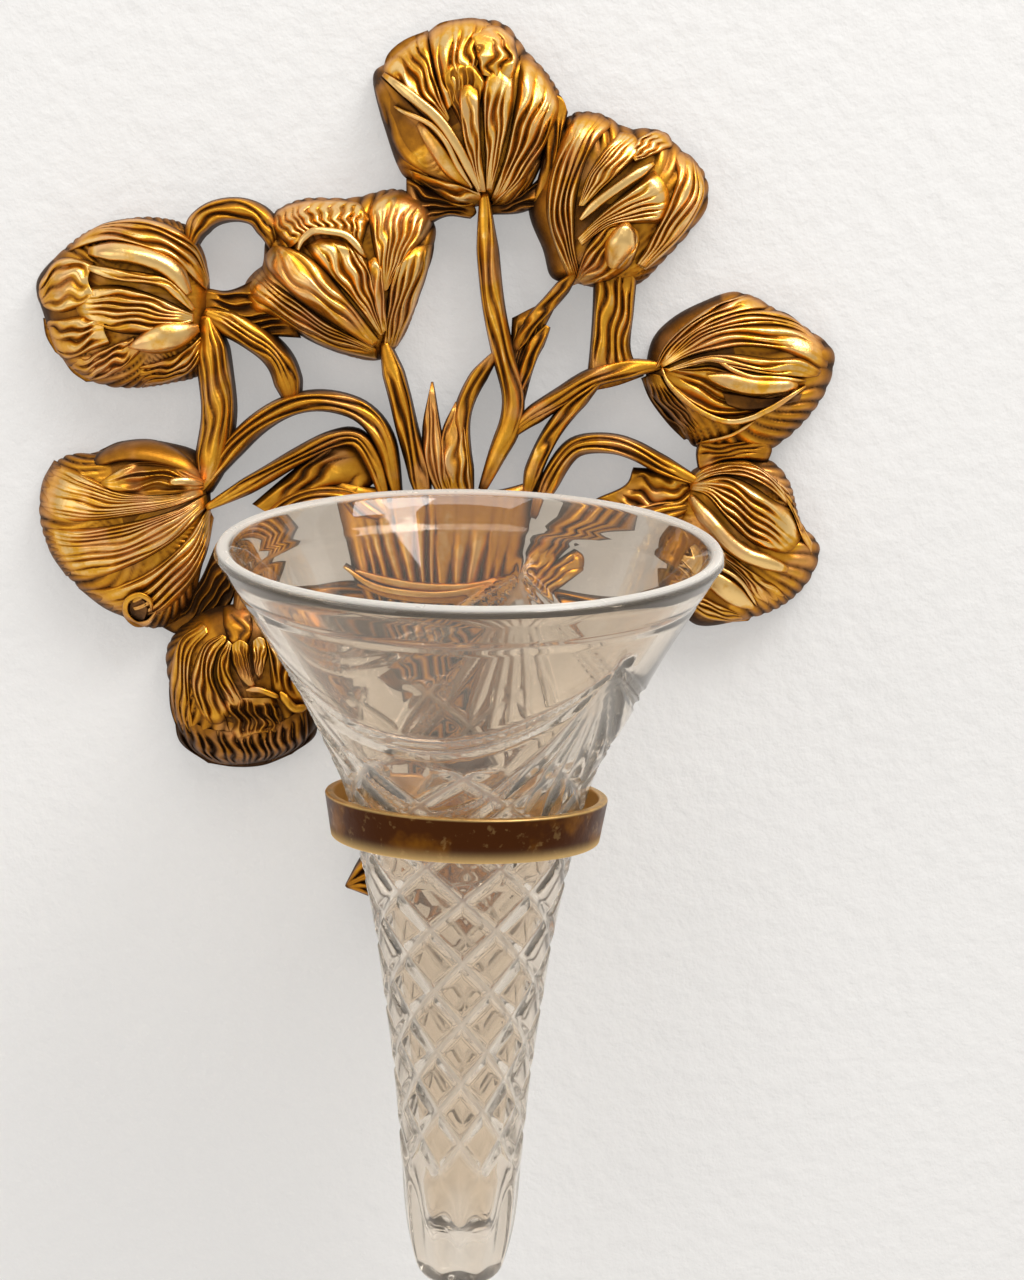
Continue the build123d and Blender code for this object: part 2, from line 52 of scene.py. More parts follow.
# The view that the bouquet's outlines are traced in, as in the part's source
BOUQUET_WIDTH = 190.0
BOUQUET_WIDTH_PX = 801
FOCAL_PX = 2400
CENTRE_U_PX = 512
CENTRE_V_PX = 640
VIEW_DISTANCE = FOCAL_PX * BOUQUET_WIDTH / BOUQUET_WIDTH_PX
VIEW_X = 0.07316 * BOUQUET_WIDTH
VIEW_Z = -0.33316 * BOUQUET_WIDTH
VIEW_PITCH = math.radians(7.16)
VIEW_ROLL = math.radians(1.97)
PX_TO_MM = BOUQUET_WIDTH / BOUQUET_WIDTH_PX

# Vase in the ring, as in the part's source
SEAT = (5.3, -62.0, -160.3)
VASE_LEAN = math.radians(8.65)
VASE_SIDE = math.radians(-0.8)
GLASS_OUTSIDE = (
    (-115.7, 5.5), (-113.6, 9.4), (-107.6, 11.6), (-97.5, 13.0), (-80.0, 14.0),
    (-62.9, 15.5), (-48.4, 17.3), (-31.8, 19.5), (-15.5, 22.6), (3.9, 27.0),
    (20.8, 35.3), (34.0, 41.9), (53.5, 53.2),
)
GLASS_INSIDE = (
    (-104.0, 3.0), (-97.5, 6.8), (-80.0, 9.2), (-62.9, 11.2), (-31.8, 15.2),
    (-15.5, 18.1), (3.9, 22.4), (20.8, 30.9), (34.0, 37.8), (53.9, 49.6),
)
RIM_TOP = (55.3, 51.7)
CAVITY_END = -106.5

# Hoop, as in the part's source: middle, half width and half depth, and height
HOOP_MIDDLE = (5.3, -62.45)
HOOP_HALF = (30.4, 29.2)
HOOP_HEIGHT = 9.5

# Cuts of the glass: top and drop of the swags, heights and half width of the knots, and
# lean in degrees and low end of the leaves in the fan below each knot
SWAGS = ((37.5, 15.5), (35.0, 15.5), (34.0, 30.0), (32.0, 30.5))
SWAG_HALF = 1.1
KNOT_TURN = math.radians(45)
KNOT_HEIGHT = 38.5
KNOT_HALF = 2.6
KNOT_DEPTH = 0.9
FAN = ((-30, 8), (-18, 4), (-7, 1), (5, 1), (17, 4), (29, 9))
FAN_TOP = 37
FAN_DEPTH = 1.5
LATTICE_PITCH = 14.9
LATTICE_TURNS = 9
LATTICE_START = 16.9
LATTICE_HALF = 1.5
BAND_CUTS = (-12.5, 45.8)
FLUTE_DEPTH = 0.7
# Outside heights between which the glass is cut, and steps round it
CUT_LOW = -114
CUT_TOP = 50
GLASS_STEPS = 336

# Cast forms in millimetres: depth of a tulip's edge, thickness and reach of its hollow
# back, centre in the photo and depth of the room behind the hanging hole, and how far
# the backs of the cast forms stay off the wall
EDGE_DEPTH = 2.6
SHELL = 3.4
HOLLOW_REACH = 7.5
HANG_HOLE = (454, 56)
HANG_ROOM = 6.0
BACK_GAP = 0.2
# Share of its outline that a tulip's body fills
BODY_SHARE = 0.972
# Polar angle of the ball, in right angles, past which it is the body's back
BACK_FROM = 1.1
# Painted shade on the undersides and side walls of the raised forms, and darkening of the tulips' backs
UNDER_SHADE = 0.8
BACK_DARKENING = 0.35
# Columns, more columns for each rib, and rows of a band's and a petal's grid
BAND_GRID = (8, 6, 44)
PETAL_GRID = (10, 9, 48)

# Stage: light from the surfaces and the world, and lights by place, size, power and tone
WALL_GLOW = 0.34
FLOOR_GLOW = 0.35
WORLD_LIGHT = 0.55
LIGHT_AIM = (-0.005, -0.02, -0.12)
LIGHTS = {
    "key_light": ((0.85, -0.75, 1.25), (0.9, 0.7), 17, (1.0, 0.98, 0.95)),
    "fill_light": ((-1.2, -1.2, 0.1), (1.0, 1.2), 4, (1.0, 0.96, 0.93)),
    "top_light": ((0.1, -0.5, 0.8), (0.9, 0.4), 4.5, (1.0, 1.0, 1.0)),
    "back_light": ((-0.3, 1.5, 0.6), (1.4, 1.4), 12, (1.0, 1.0, 1.0)),
}

# All outlines are x and y of photo pixels, one point after the other. The eight tulips:
# middle, foot of the petals, middle of the plain side, ribs round the body, and outline
TULIPS = {
    "top": ((474, 112), (484, 208), (372, 120), 20, (484, 208, 455, 211, 430, 192, 402, 179, 384, 135,
        370, 78, 385, 60, 415, 36, 446, 20, 480, 16, 507, 22, 528, 48, 552, 75, 567, 108, 552, 145,
        533, 188, 508, 208)),
    "inner_left": ((345, 275), (384, 350), (300, 320), 20, (382, 362, 350, 359, 309, 343, 272, 319,
        247, 312, 242, 288, 260, 264, 262, 235, 270, 212, 302, 196, 352, 195, 396, 186, 428, 198,
        438, 222, 436, 255, 419, 306, 404, 341)),
    "left": ((125, 300), (212, 304), (60, 300), 24, (212, 318, 207, 372, 172, 386, 127, 391, 92, 384,
        58, 358, 41, 314, 34, 282, 54, 255, 86, 229, 126, 216, 162, 215, 192, 226, 210, 264)),
    "inner_right": ((615, 205), (578, 286), (530, 230), 18, (576, 286, 550, 280, 541, 252, 526, 207,
        544, 160, 566, 114, 598, 110, 628, 125, 659, 127, 683, 147, 707, 171, 711, 203, 694, 231,
        664, 264, 640, 286, 608, 292)),
    "right": ((740, 375), (652, 368), (690, 320), 18, (643, 374, 649, 340, 668, 318, 698, 301, 737, 289,
        774, 305, 813, 329, 837, 352, 829, 391, 803, 427, 768, 453, 728, 456, 693, 449, 673, 423,
        650, 397)),
    "lower_right": ((745, 540), (686, 484), (700, 590), 20, (683, 480, 704, 462, 764, 456, 790, 478,
        803, 521, 822, 547, 811, 582, 780, 610, 735, 624, 692, 626, 672, 590, 668, 530)),
    "lower_left": ((125, 530), (214, 490), (150, 440), 26, (213, 488, 204, 453, 170, 440, 132, 437,
        98, 449, 62, 454, 41, 480, 37, 517, 50, 556, 80, 592, 118, 617, 160, 631, 194, 600, 210, 545)),
    "bottom_left": ((245, 690), (246, 610), (250, 610), 22, (246, 602, 205, 608, 166, 642, 168, 692,
        181, 737, 213, 764, 260, 764, 300, 748, 325, 710, 320, 652, 287, 612)),
}


def edge_between(first, points, last):
    """Points of an edge that joins two others, or none where it is straight."""
    return (*first, *points, *last) if points else None


def petal(
    ribs, rise, relief, left, right, far=(), tip=None, near=(), crown=0.0, cut="fold", dark=0.0
):
    """One raised petal: ribs, depths from base to tip, depth of its ribs, edges and painted shade.

    The far and near edges leave out the ends that they share with the left and right ones.
    """
    return {
        "ribs": ribs, "rise": rise, "relief": relief, "left": left, "right": right,
        "far": edge_between(left[-2:], far, tip or right[-2:]),
        "near": edge_between(left[:2], near, right[:2]), "crown": crown, "cut": cut, "dark": dark,
    }


def band(width, rise, line, ribs=1, relief=0.0, crown=1.4, dark=0.0):
    """A narrow raised band or rolled lip along a line."""
    return {
        "ribs": ribs, "rise": rise, "relief": relief, "line": line, "width": width,
        "crown": crown, "cut": "fold", "dark": dark,
    }


PETALS = {
    "top": (
        petal(4, (10, 11, 10.5), 1.1, (446, 124, 415, 99, 382, 73), (450, 118, 436, 80, 428, 36),
            far=(388, 54, 404, 40), tip=(428, 30)),
        petal(6, (11, 12.5, 11.5), 0.9, (446, 112, 436, 80, 428, 32), (476, 74, 484, 50, 492, 24),
            far=(440, 23, 458, 19, 476, 18)),
        petal(7, (10, 12, 14), 0.7, (462, 128, 447, 100, 439, 74), (472, 128, 482, 104, 488, 84),
            far=(448, 65, 460, 61, 474, 64), cut="flute"),
        petal(3, (12, 15, 15), 0.8, (480, 192, 463, 140, 458, 92), (486, 192, 481, 140, 480, 92),
            far=(468, 84)),
        petal(2, (9, 9, 10), 0.5, (478, 200, 440, 184, 403, 162, 384, 126, 373, 84), (480, 190,
            458, 152, 436, 124, 412, 102, 381, 76), crown=-2, dark=0.4),
        petal(1, (9, 11, 9.5), 0.0, (470, 190, 446, 176, 428, 150, 416, 126), (472, 184, 456, 162,
            438, 138, 420, 120), crown=1.4, dark=0.15),
        band(11, (12, 14.5, 14), (480, 192, 460, 151, 440, 121, 415, 99, 383, 74)),
        band(6, (12, 13, 11.5), (472, 188, 458, 166, 446, 142, 430, 124, 404, 112, 394, 106)),
        petal(4, (11, 14, 13.5), 1.1, (486, 190, 484, 140, 482, 98, 486, 72), (492, 190, 503, 150,
            512, 112, 515, 76), far=(500, 62)),
        petal(3, (13, 14.5, 12.5), 1.0, (480, 74, 474, 52, 466, 36), (512, 84, 518, 60, 514, 38),
            far=(480, 27, 498, 26)),
        petal(5, (9, 12.5, 10.5), 1.4, (490, 200, 506, 150, 515, 100, 520, 54), (500, 204, 526, 178,
            548, 142, 562, 108), far=(532, 60, 546, 74, 556, 94)),
        petal(3, (11, 10, 8), 1.2, (482, 206, 455, 208, 432, 194, 410, 180), (480, 192, 454, 182,
            430, 176, 406, 168)),
        petal(4, (10, 9.5, 8), 1.1, (488, 206, 506, 188, 522, 172, 534, 158), (492, 210, 512, 206,
            530, 188, 546, 156)),
    ),
    "inner_left": (
        petal(11, (12, 13, 10.5), 0.8, (290, 248, 278, 236, 266, 222), (362, 248, 366, 232, 370, 216),
            far=(282, 207, 306, 201, 335, 200, 358, 203), near=(304, 238, 326, 234, 346, 237)),
        band(8, (13, 14.5, 13), (298, 250, 302, 240, 313, 231, 328, 231, 344, 234, 354, 242, 366, 258)),
        petal(5, (12, 12, 12.5), 1.0, (380, 336, 350, 298, 320, 266, 304, 246), (384, 334, 378, 296,
            370, 268, 362, 252), far=(322, 238, 344, 241)),
        petal(3, (11, 13.5, 12), 0.7, (372, 348, 330, 322, 296, 298, 270, 272, 264, 256), (380, 340,
            352, 304, 326, 272, 306, 254, 288, 247), far=(274, 246), crown=1.8, dark=0.12),
        petal(5, (9, 11, 9), 1.4, (378, 360, 330, 350, 290, 328, 256, 315, 243, 300), (376, 348,
            334, 326, 300, 302, 272, 280, 262, 266), far=(245, 284, 253, 273)),
        petal(7, (11, 12.5, 10), 1.0, (382, 292, 376, 262, 371, 236, 368, 210), (388, 290, 404, 262,
            422, 242, 434, 222), far=(380, 197, 398, 190, 416, 195, 429, 205)),
        petal(2, (13, 14, 14), 0.8, (382, 334, 374, 298, 367, 262), (387, 330, 385, 298, 382, 266),
            far=(375, 257)),
        petal(5, (9, 12.5, 11.5), 1.3, (382, 350, 386, 312, 390, 280, 394, 262), (398, 346, 416, 306,
            428, 270, 433, 244), far=(412, 248)),
    ),
    "left": (
        petal(4, (9, 12, 9.5), 1.3, (206, 290, 176, 266, 146, 250, 112, 242, 86, 246, 66, 254),
            (210, 280, 198, 246, 172, 226, 140, 218, 108, 222, 88, 231), far=(76, 240)),
        band(21, (12, 14, 12.5), (189, 294, 176, 274, 158, 262, 127, 253, 88, 251), crown=2.4),
        band(12, (12, 13, 12), (194, 310, 176, 292, 158, 281, 109, 273, 84, 266), ribs=2, relief=0.6),
        petal(6, (12, 12.5, 10.5), 1.0, (194, 314, 160, 297, 120, 285, 84, 287), (194, 322, 166, 333,
            124, 334, 88, 324), far=(76, 300, 78, 314)),
        petal(4, (11, 10.5, 7.5), 1.0, (94, 262, 70, 256, 52, 262, 38, 284), (96, 300, 80, 308, 60, 314,
            42, 308), far=(37, 296), near=(88, 280)),
        petal(4, (11, 10, 7), 1.1, (106, 316, 80, 314, 56, 318, 43, 318), (110, 344, 86, 354, 68, 360,
            55, 352), far=(46, 336), near=(104, 330)),
        petal(4, (10, 9, 6.5), 1.1, (134, 336, 108, 346, 84, 354, 62, 358), (140, 352, 124, 368,
            104, 380, 86, 382), far=(72, 372), near=(134, 344)),
        petal(1, (12, 13, 12), 0.0, (198, 324, 168, 320, 148, 328, 128, 346), (200, 332, 182, 348,
            156, 354, 128, 348), crown=1.8),
        petal(4, (10, 10, 7), 1.3, (204, 332, 182, 350, 156, 360, 134, 366), (208, 350, 194, 370,
            172, 382, 142, 388), far=(136, 378)),
    ),
    "inner_right": (
        petal(5, (8, 12, 11), 1.4, (572, 286, 556, 250, 546, 212, 550, 172, 564, 134, 576, 114),
            (582, 282, 576, 246, 576, 208, 584, 168, 598, 140, 614, 124), far=(596, 113)),
        petal(6, (12, 13.5, 12), 0.9, (578, 206, 586, 178, 602, 152, 620, 132), (584, 206, 604, 188,
            626, 168, 642, 150), far=(634, 135)),
        petal(4, (11, 12, 9.5), 1.0, (628, 152, 640, 137, 656, 130), (636, 162, 652, 156, 674, 146),
            far=(668, 134)),
        band(10, (12, 14.5, 14), (580, 220, 596, 204, 620, 186, 654, 163)),
        petal(6, (12, 13, 12), 1.1, (577, 238, 600, 214, 626, 192, 654, 170), (582, 246, 606, 229,
            636, 224, 664, 224), far=(666, 184, 670, 204)),
        petal(5, (9, 12, 9), 1.4, (636, 264, 652, 236, 668, 204, 676, 176, 672, 150), (646, 270,
            672, 248, 693, 222, 705, 196, 703, 172), far=(690, 155)),
        petal(5, (11, 13, 13), 1.1, (576, 278, 586, 248, 604, 227, 626, 222), (584, 286, 608, 281,
            630, 266, 640, 244), far=(638, 231)),
        petal(1, (12, 14, 13), 0.0, (604, 262, 603, 244, 613, 228), (622, 268, 636, 250, 637, 232),
            far=(627, 222), near=(612, 269), crown=2.6),
    ),
    "right": (
        petal(3, (10, 12, 9.5), 1.2, (654, 370, 664, 346, 686, 324, 712, 306, 742, 295), (660, 366,
            688, 340, 712, 322, 742, 312, 772, 308), far=(758, 298)),
        petal(6, (11, 12.5, 9), 1.3, (660, 364, 690, 332, 718, 318, 750, 310, 784, 312, 808, 330),
            (662, 368, 690, 357, 716, 351, 745, 347, 785, 352, 826, 372), far=(822, 343, 828, 358)),
        petal(3, (12, 12.5, 10), 1.0, (664, 370, 700, 357, 735, 354, 770, 358, 800, 358, 822, 370),
            (668, 372, 692, 366, 712, 362, 740, 370, 771, 376, 808, 378), far=(818, 376)),
        petal(5, (12, 10, 9), 0.9, (664, 368, 692, 367, 711, 365, 733, 371, 752, 376, 790, 376,
            806, 380), (662, 372, 668, 384, 680, 396, 696, 408, 716, 417, 752, 414, 786, 400, 804, 388),
            far=(808, 384), crown=-1.6),
        petal(1, (11.5, 11, 11), 0.0, (722, 392, 740, 394, 766, 398, 802, 394), (728, 406, 746, 411,
            770, 408, 800, 400), crown=-1, dark=1.0),
        petal(1, (12, 13.5, 12.5), 0.0, (706, 374, 728, 372, 756, 378, 796, 380), (712, 382, 732, 392,
            758, 396, 792, 392), far=(798, 386), crown=1.6),
        band(6, (13, 14, 12.5), (662, 368, 667, 381, 680, 396, 696, 409, 716, 419, 734, 422, 752, 418,
            762, 413, 774, 407, 788, 398, 806, 386)),
        band(5, (11, 12.5, 11), (700, 362, 716, 360, 733, 370, 752, 377, 772, 378, 806, 381)),
        petal(5, (10, 9, 7), 1.1, (641, 378, 650, 400, 668, 424, 684, 440), (662, 376, 672, 392,
            690, 412, 704, 428), far=(696, 436), near=(652, 374), cut="lap"),
        band(4, (8, 9.5, 8), (696, 444, 720, 439, 736, 433, 756, 420)),
    ),
    "lower_right": (
        petal(4, (10, 12.5, 10), 1.0, (688, 482, 704, 466, 724, 460, 746, 460, 770, 474, 786, 492),
            (690, 486, 708, 478, 727, 475, 750, 480, 770, 490, 790, 508), far=(790, 500)),
        petal(6, (11, 13, 9.5), 1.3, (690, 484, 720, 476, 742, 480, 766, 494, 790, 512, 802, 532),
            (690, 490, 706, 496, 720, 512, 734, 528, 750, 542, 772, 552), far=(798, 544, 788, 552)),
        petal(4, (9, 10, 8), 0.6, (776, 478, 788, 490, 796, 510, 806, 534), (790, 508, 796, 522,
            802, 540, 812, 556), far=(814, 546)),
        band(17, (12, 13.5, 10), (690, 496, 700, 510, 713, 525, 730, 543, 747, 555, 766, 562, 788, 570),
            crown=2.6),
        petal(4, (8, 9, 7), 0.9, (700, 540, 722, 560, 740, 578, 756, 604), (716, 545, 752, 570,
            778, 586, 790, 600), far=(774, 606)),
        petal(1, (8, 9, 8), 0.0, (702, 566, 722, 572, 742, 586, 756, 608), (700, 574, 712, 592,
            732, 606, 756, 610), crown=1.6),
        band(4, (9, 10.5, 9), (704, 564, 724, 570, 742, 583, 757, 606)),
        petal(4, (7, 8, 6), 0.9, (692, 592, 712, 600, 732, 610, 752, 616), (690, 612, 708, 620,
            728, 622, 748, 621), far=(750, 619), near=(690, 602)),
    ),
    "lower_left": (
        petal(1, (9, 10, 8), 0.0, (208, 482, 186, 456, 156, 440, 122, 441, 100, 450), (206, 486,
            180, 472, 150, 464, 124, 462, 98, 468), far=(94, 460), crown=1.6, dark=0.6),
        petal(4, (12, 13, 11), 1.0, (208, 482, 180, 468, 150, 462, 124, 466, 100, 482), (208, 488,
            180, 493, 146, 495, 118, 493, 100, 485), cut="flute"),
        band(9, (14, 15, 14), (203, 484, 186, 481, 168, 482), crown=2),
        petal(10, (10, 11.5, 8.5), 1.0, (206, 486, 170, 494, 120, 490, 84, 474, 54, 460), (206, 494,
            170, 508, 120, 518, 76, 522, 44, 518), far=(43, 480, 40, 500)),
        petal(8, (10, 11.5, 8), 1.0, (206, 494, 168, 512, 118, 524, 74, 528, 42, 524), (208, 506,
            178, 538, 136, 564, 96, 578, 66, 576), far=(50, 552)),
        petal(6, (9, 11, 7.5), 1.1, (208, 506, 184, 542, 150, 570, 112, 586, 78, 588), (214, 518,
            206, 556, 188, 590, 164, 612, 132, 620), far=(104, 608)),
        petal(1, (11, 11, 11), 0.0, (130, 618, 127, 609, 131, 600), (146, 618, 149, 609, 145, 600),
            far=(138, 597), near=(138, 622), crown=-2, dark=1.0),
        band(6, (11, 12.5, 11), (156, 612, 148, 622, 136, 624, 126, 614, 127, 601, 139, 595, 150, 601,
            152, 612), dark=0.15),
        petal(5, (8, 9, 6), 1.1, (214, 548, 200, 580, 180, 606, 160, 626), (236, 566, 234, 596,
            218, 622, 192, 636), far=(176, 634), near=(228, 552), cut="lap"),
    ),
    "bottom_left": (
        petal(2, (8, 9, 9), 0.5, (222, 608, 222, 622, 226, 636, 232, 646), (252, 606, 254, 622,
            252, 636, 246, 646), far=(240, 650), near=(238, 603), crown=0.8, dark=0.35),
        petal(4, (8, 9, 7), 0.9, (200, 622, 178, 640, 170, 672, 170, 706, 178, 732), (208, 634,
            194, 652, 190, 680, 192, 708, 200, 738), far=(190, 740), near=(206, 626)),
        petal(4, (9, 12, 9), 1.4, (222, 634, 204, 644, 193, 668, 192, 692, 204, 722), (226, 642,
            217, 656, 214, 676, 220, 694, 232, 712), far=(220, 724), near=(226, 637)),
        petal(3, (11, 13, 10), 1.2, (228, 640, 219, 656, 216, 674, 222, 694, 234, 710), (232, 644,
            230, 660, 232, 676, 240, 692, 246, 704), far=(241, 709)),
        petal(6, (11, 12, 12), 0.7, (230, 646, 230, 660, 238, 676, 250, 688), (250, 646, 250, 660,
            252, 674, 256, 686), far=(254, 690), near=(240, 640), cut="flute"),
        petal(4, (11, 11.5, 11), 0.7, (252, 642, 252, 656, 254, 668, 256, 676), (266, 640, 268, 654,
            264, 668, 262, 676), far=(259, 680), near=(259, 637)),
        petal(4, (10, 12, 9), 1.2, (262, 630, 268, 652, 270, 674, 272, 694), (274, 628, 288, 652,
            300, 676, 308, 704), far=(290, 704), near=(268, 624)),
        band(9, (11, 12.5, 10), (280, 692, 294, 708, 308, 706)),
        band(6, (12, 13, 12), (246, 690, 260, 690, 280, 698)),
        petal(7, (10, 10, 8), 1.2, (222, 700, 224, 716, 230, 734, 234, 744), (276, 698, 282, 712,
            284, 722, 282, 734), far=(258, 736), near=(250, 698), cut="flute"),
        petal(17, (7, 10.5, 6), 1.5, (174, 712, 180, 742, 208, 763), (316, 700, 316, 734, 292, 754),
            far=(236, 767, 264, 765), near=(214, 730, 266, 728), dark=0.5),
    ),
}

# Stems: half width, number of ribs, depths along the line, and line
STEMS = (
    (11.5, 3, (9, 9, 8.5), (484, 192, 487, 241, 493, 302, 503, 353, 513, 394, 510, 425, 497, 455,
        482, 490)),
    (9, 2, (8, 8, 8), (497, 352, 474, 384, 462, 415, 462, 450, 470, 500)),
    (8, 2, (8, 8, 7), (576, 272, 552, 300, 530, 325, 512, 356)),
    (8, 2, (8, 8, 7), (548, 326, 530, 356, 518, 396, 514, 420)),
    (10, 3, (9, 9, 9), (664, 366, 634, 368, 593, 378, 560, 398, 530, 418, 510, 436)),
    (9, 2, (9, 9, 8), (600, 380, 571, 408, 550, 436, 534, 470, 526, 500)),
    (10, 3, (9, 9, 9), (702, 484, 664, 466, 636, 451, 612, 444, 583, 445, 566, 456, 548, 486,
        534, 520)),
    (16, 5, (7, 7, 7), (700, 504, 650, 518, 602, 521, 560, 540, 520, 590)),
    (9, 2, (7, 7, 7), (700, 604, 640, 614, 590, 609, 510, 590)),
    (11, 3, (9, 9, 9), (384, 342, 398, 392, 407, 430, 418, 470, 426, 510)),
    (12, 3, (8, 8, 8), (188, 248, 197, 226, 213, 213, 236, 209, 257, 215, 269, 231, 275, 250)),
    (17, 5, (8, 8, 8), (206, 316, 214, 370, 218, 412, 213, 450, 204, 492)),
    (14, 4, (8, 8, 8), (204, 312, 250, 335, 280, 362, 294, 408)),
    (11, 3, (9, 9, 9), (200, 490, 238, 442, 270, 415, 302, 402, 334, 402, 364, 414, 384, 442,
        398, 500)),
    (9, 3, (9, 9, 9), (206, 508, 258, 480, 298, 456, 330, 440, 356, 438, 374, 464, 388, 510)),
    (16, 5, (7, 7, 7), (238, 616, 258, 560, 284, 515, 330, 500, 398, 524)),
    (9, 2, (7, 7, 7), (236, 616, 300, 603, 350, 598, 410, 592)),
)

# Ribbed webs between the flowers and stems
GUSSETS = (
    petal(6, (6, 7, 6.5), 0.8, (512, 400, 510, 360, 512, 318), (516, 400, 534, 350, 560, 298),
        far=(536, 306), cut="lap"),
    petal(6, (6, 8, 8), 0.9, (634, 468, 656, 470, 690, 478), (596, 500, 636, 530, 692, 514),
        far=(698, 496), near=(626, 486)),
    petal(5, (8, 8.5, 8), 1.0, (594, 268, 593, 310, 590, 352, 586, 392), (638, 268, 634, 310, 631, 350,
        644, 376), far=(616, 386), near=(616, 262)),
    petal(4, (8, 9, 8), 0.8, (702, 436, 730, 442, 764, 434), (700, 472, 728, 460, 768, 462),
        far=(772, 448), near=(698, 454), dark=0.15),
    petal(3, (7, 8.5, 7), 0.9, (548, 92, 544, 150, 530, 206), (568, 112, 558, 156, 552, 204),
        far=(542, 212), near=(562, 98), dark=0.1),
    petal(6, (6, 7.5, 7), 1.0, (206, 288, 230, 290, 262, 276), (210, 322, 250, 334, 300, 338),
        far=(286, 302), near=(204, 304), cut="lap"),
    petal(5, (5, 6, 5), 1.1, (300, 594, 312, 640, 372, 690), (396, 592, 402, 640, 404, 698),
        far=(388, 696), near=(345, 586), cut="lap", dark=0.2),
    petal(4, (6, 7.5, 7), 0.9, (474, 204, 440, 194, 406, 174), (470, 218, 446, 216, 422, 228),
        far=(408, 202), near=(476, 212), cut="lap", dark=0.1),
    petal(3, (6, 7, 6), 0.9, (492, 204, 522, 192, 550, 168), (492, 214, 522, 212, 554, 198),
        far=(556, 182), near=(488, 209), cut="lap", dark=0.3),
    petal(4, (7, 7.5, 7), 1.0, (252, 504, 290, 472, 328, 444), (300, 516, 346, 504, 378, 480),
        far=(358, 446), near=(272, 514)),
)

# Bundle of stems from the flowers to the flared foot, the tie round it, and its leaves
BUNDLE = (
    petal(13, (7, 8, 8.5, 8.5, 8, 8, 8), 2.0, (318, 478, 334, 515, 344, 556, 352, 594, 384, 650,
        392, 740, 378, 820, 352, 884), (546, 478, 534, 515, 524, 556, 516, 600, 510, 660, 510, 740,
        524, 820, 544, 892), far=(396, 898, 450, 904, 500, 902), near=(380, 490, 440, 494, 496, 492),
        crown=1.0),
)
TIE = (
    band(9, (10.5, 11.5, 10.5), (350, 574, 384, 584, 430, 590, 480, 588, 526, 572), ribs=1, crown=1.2),
    band(9, (10.5, 11.5, 10.5), (352, 588, 390, 598, 436, 602, 482, 599, 522, 586), ribs=1, crown=1.2,
        dark=0.3),
    band(7, (11, 12.5, 11), (338, 570, 372, 590, 428, 597, 474, 592, 512, 578), ribs=1, crown=1.2),
    petal(4, (9, 11, 9), 0.8, (498, 606, 512, 574, 546, 540), (516, 606, 538, 590, 560, 562),
        far=(558, 548)),
    petal(3, (9, 10, 8), 0.8, (512, 596, 544, 574, 578, 552), (520, 606, 552, 598, 588, 574),
        far=(588, 560)),
)
LEAVES = (
    petal(4, (9, 10, 8), 0.9, (440, 500, 426, 470, 422, 430, 431, 382), (452, 500, 446, 460, 441, 430,
        433, 382)),
    petal(4, (9, 10, 8), 0.9, (450, 500, 440, 460, 442, 430, 455, 402), (474, 500, 470, 460, 466, 430,
        457, 402)),
    petal(4, (8, 9, 8), 1.0, (404, 830, 386, 834, 362, 856, 345, 886), (404, 850, 402, 874, 388, 900,
        347, 888)),
)


def wall_points(pixels, depth):
    """Where pixels of the view lie on planes at these depths in front of the wall, in metres."""
    u = (pixels[..., 0] - CENTRE_U_PX) / FOCAL_PX
    v = (CENTRE_V_PX - pixels[..., 1]) / FOCAL_PX
    across = u * math.cos(VIEW_ROLL) - v * math.sin(VIEW_ROLL)
    rise = u * math.sin(VIEW_ROLL) + v * math.cos(VIEW_ROLL)
    forward = math.cos(VIEW_PITCH) + rise * math.sin(VIEW_PITCH)
    upward = rise * math.cos(VIEW_PITCH) - math.sin(VIEW_PITCH)
    reach = (VIEW_DISTANCE - depth) / forward
    return np.stack((VIEW_X + across * reach, -depth, VIEW_Z + upward * reach), -1) * MM


def smooth_line(points, count, closed=False):
    """A smooth line through points of two numbers each, sampled at even steps."""
    p = np.array(points, float).reshape(-1, 2)
    if closed:
        p = np.concatenate((p[-1:], p, p[:2]))
    else:
        p = np.concatenate((2 * p[:1] - p[1:2], p, 2 * p[-1:] - p[-2:-1]))
    t = np.linspace(0, 1, 13)[:-1, None]
    runs = [
        0.5 * (2 * b + (c - a) * t + (2 * a - 5 * b + 4 * c - d) * t**2 + (3 * b - a - 3 * c + d) * t**3)
        for a, b, c, d in zip(p, p[1:], p[2:], p[3:])
    ]
    line = np.concatenate(runs + [p[-2:-1]])
    gone = np.concatenate(([0], np.cumsum(np.linalg.norm(np.diff(line, axis=0), axis=1))))
    at = np.linspace(0, gone[-1], count, endpoint=not closed)
    return np.stack([np.interp(at, gone, line[:, k]) for k in range(line.shape[1])], -1)


def ease(low, high, x):
    """Smooth step from 0 to 1 between two values."""
    t = np.clip((x - low) / (high - low), 0, 1)
    return t * t * (3 - 2 * t)


def band_edges(line, width):
    """Left and right edges of a band about a line, narrowed to its two ends."""
    p = smooth_line(line, 40)
    along = np.gradient(p, axis=0)
    side = np.stack((-along[:, 1], along[:, 0]), -1) / np.linalg.norm(along, axis=1)[:, None]
    t = np.linspace(0, 1, 40)[:, None]
    half = width / 2 * np.minimum(1, 4 * np.minimum(t + 0.06, 1.06 - t)) ** 0.7
    return p - side * half, p + side * half


def rib_height(turn, cut):
    """Height from 0 to 1 across one rib."""
    t = turn % 1
    if cut == "fold":
        return np.sin(np.pi * t) ** 0.75
    if cut == "flute":
        return 1 - np.sin(np.pi * t) ** 0.8
    return np.where(t < 0.76, (t / 0.76) ** 1.5, np.clip((1 - t) / 0.24, 0, 1) ** 0.8)


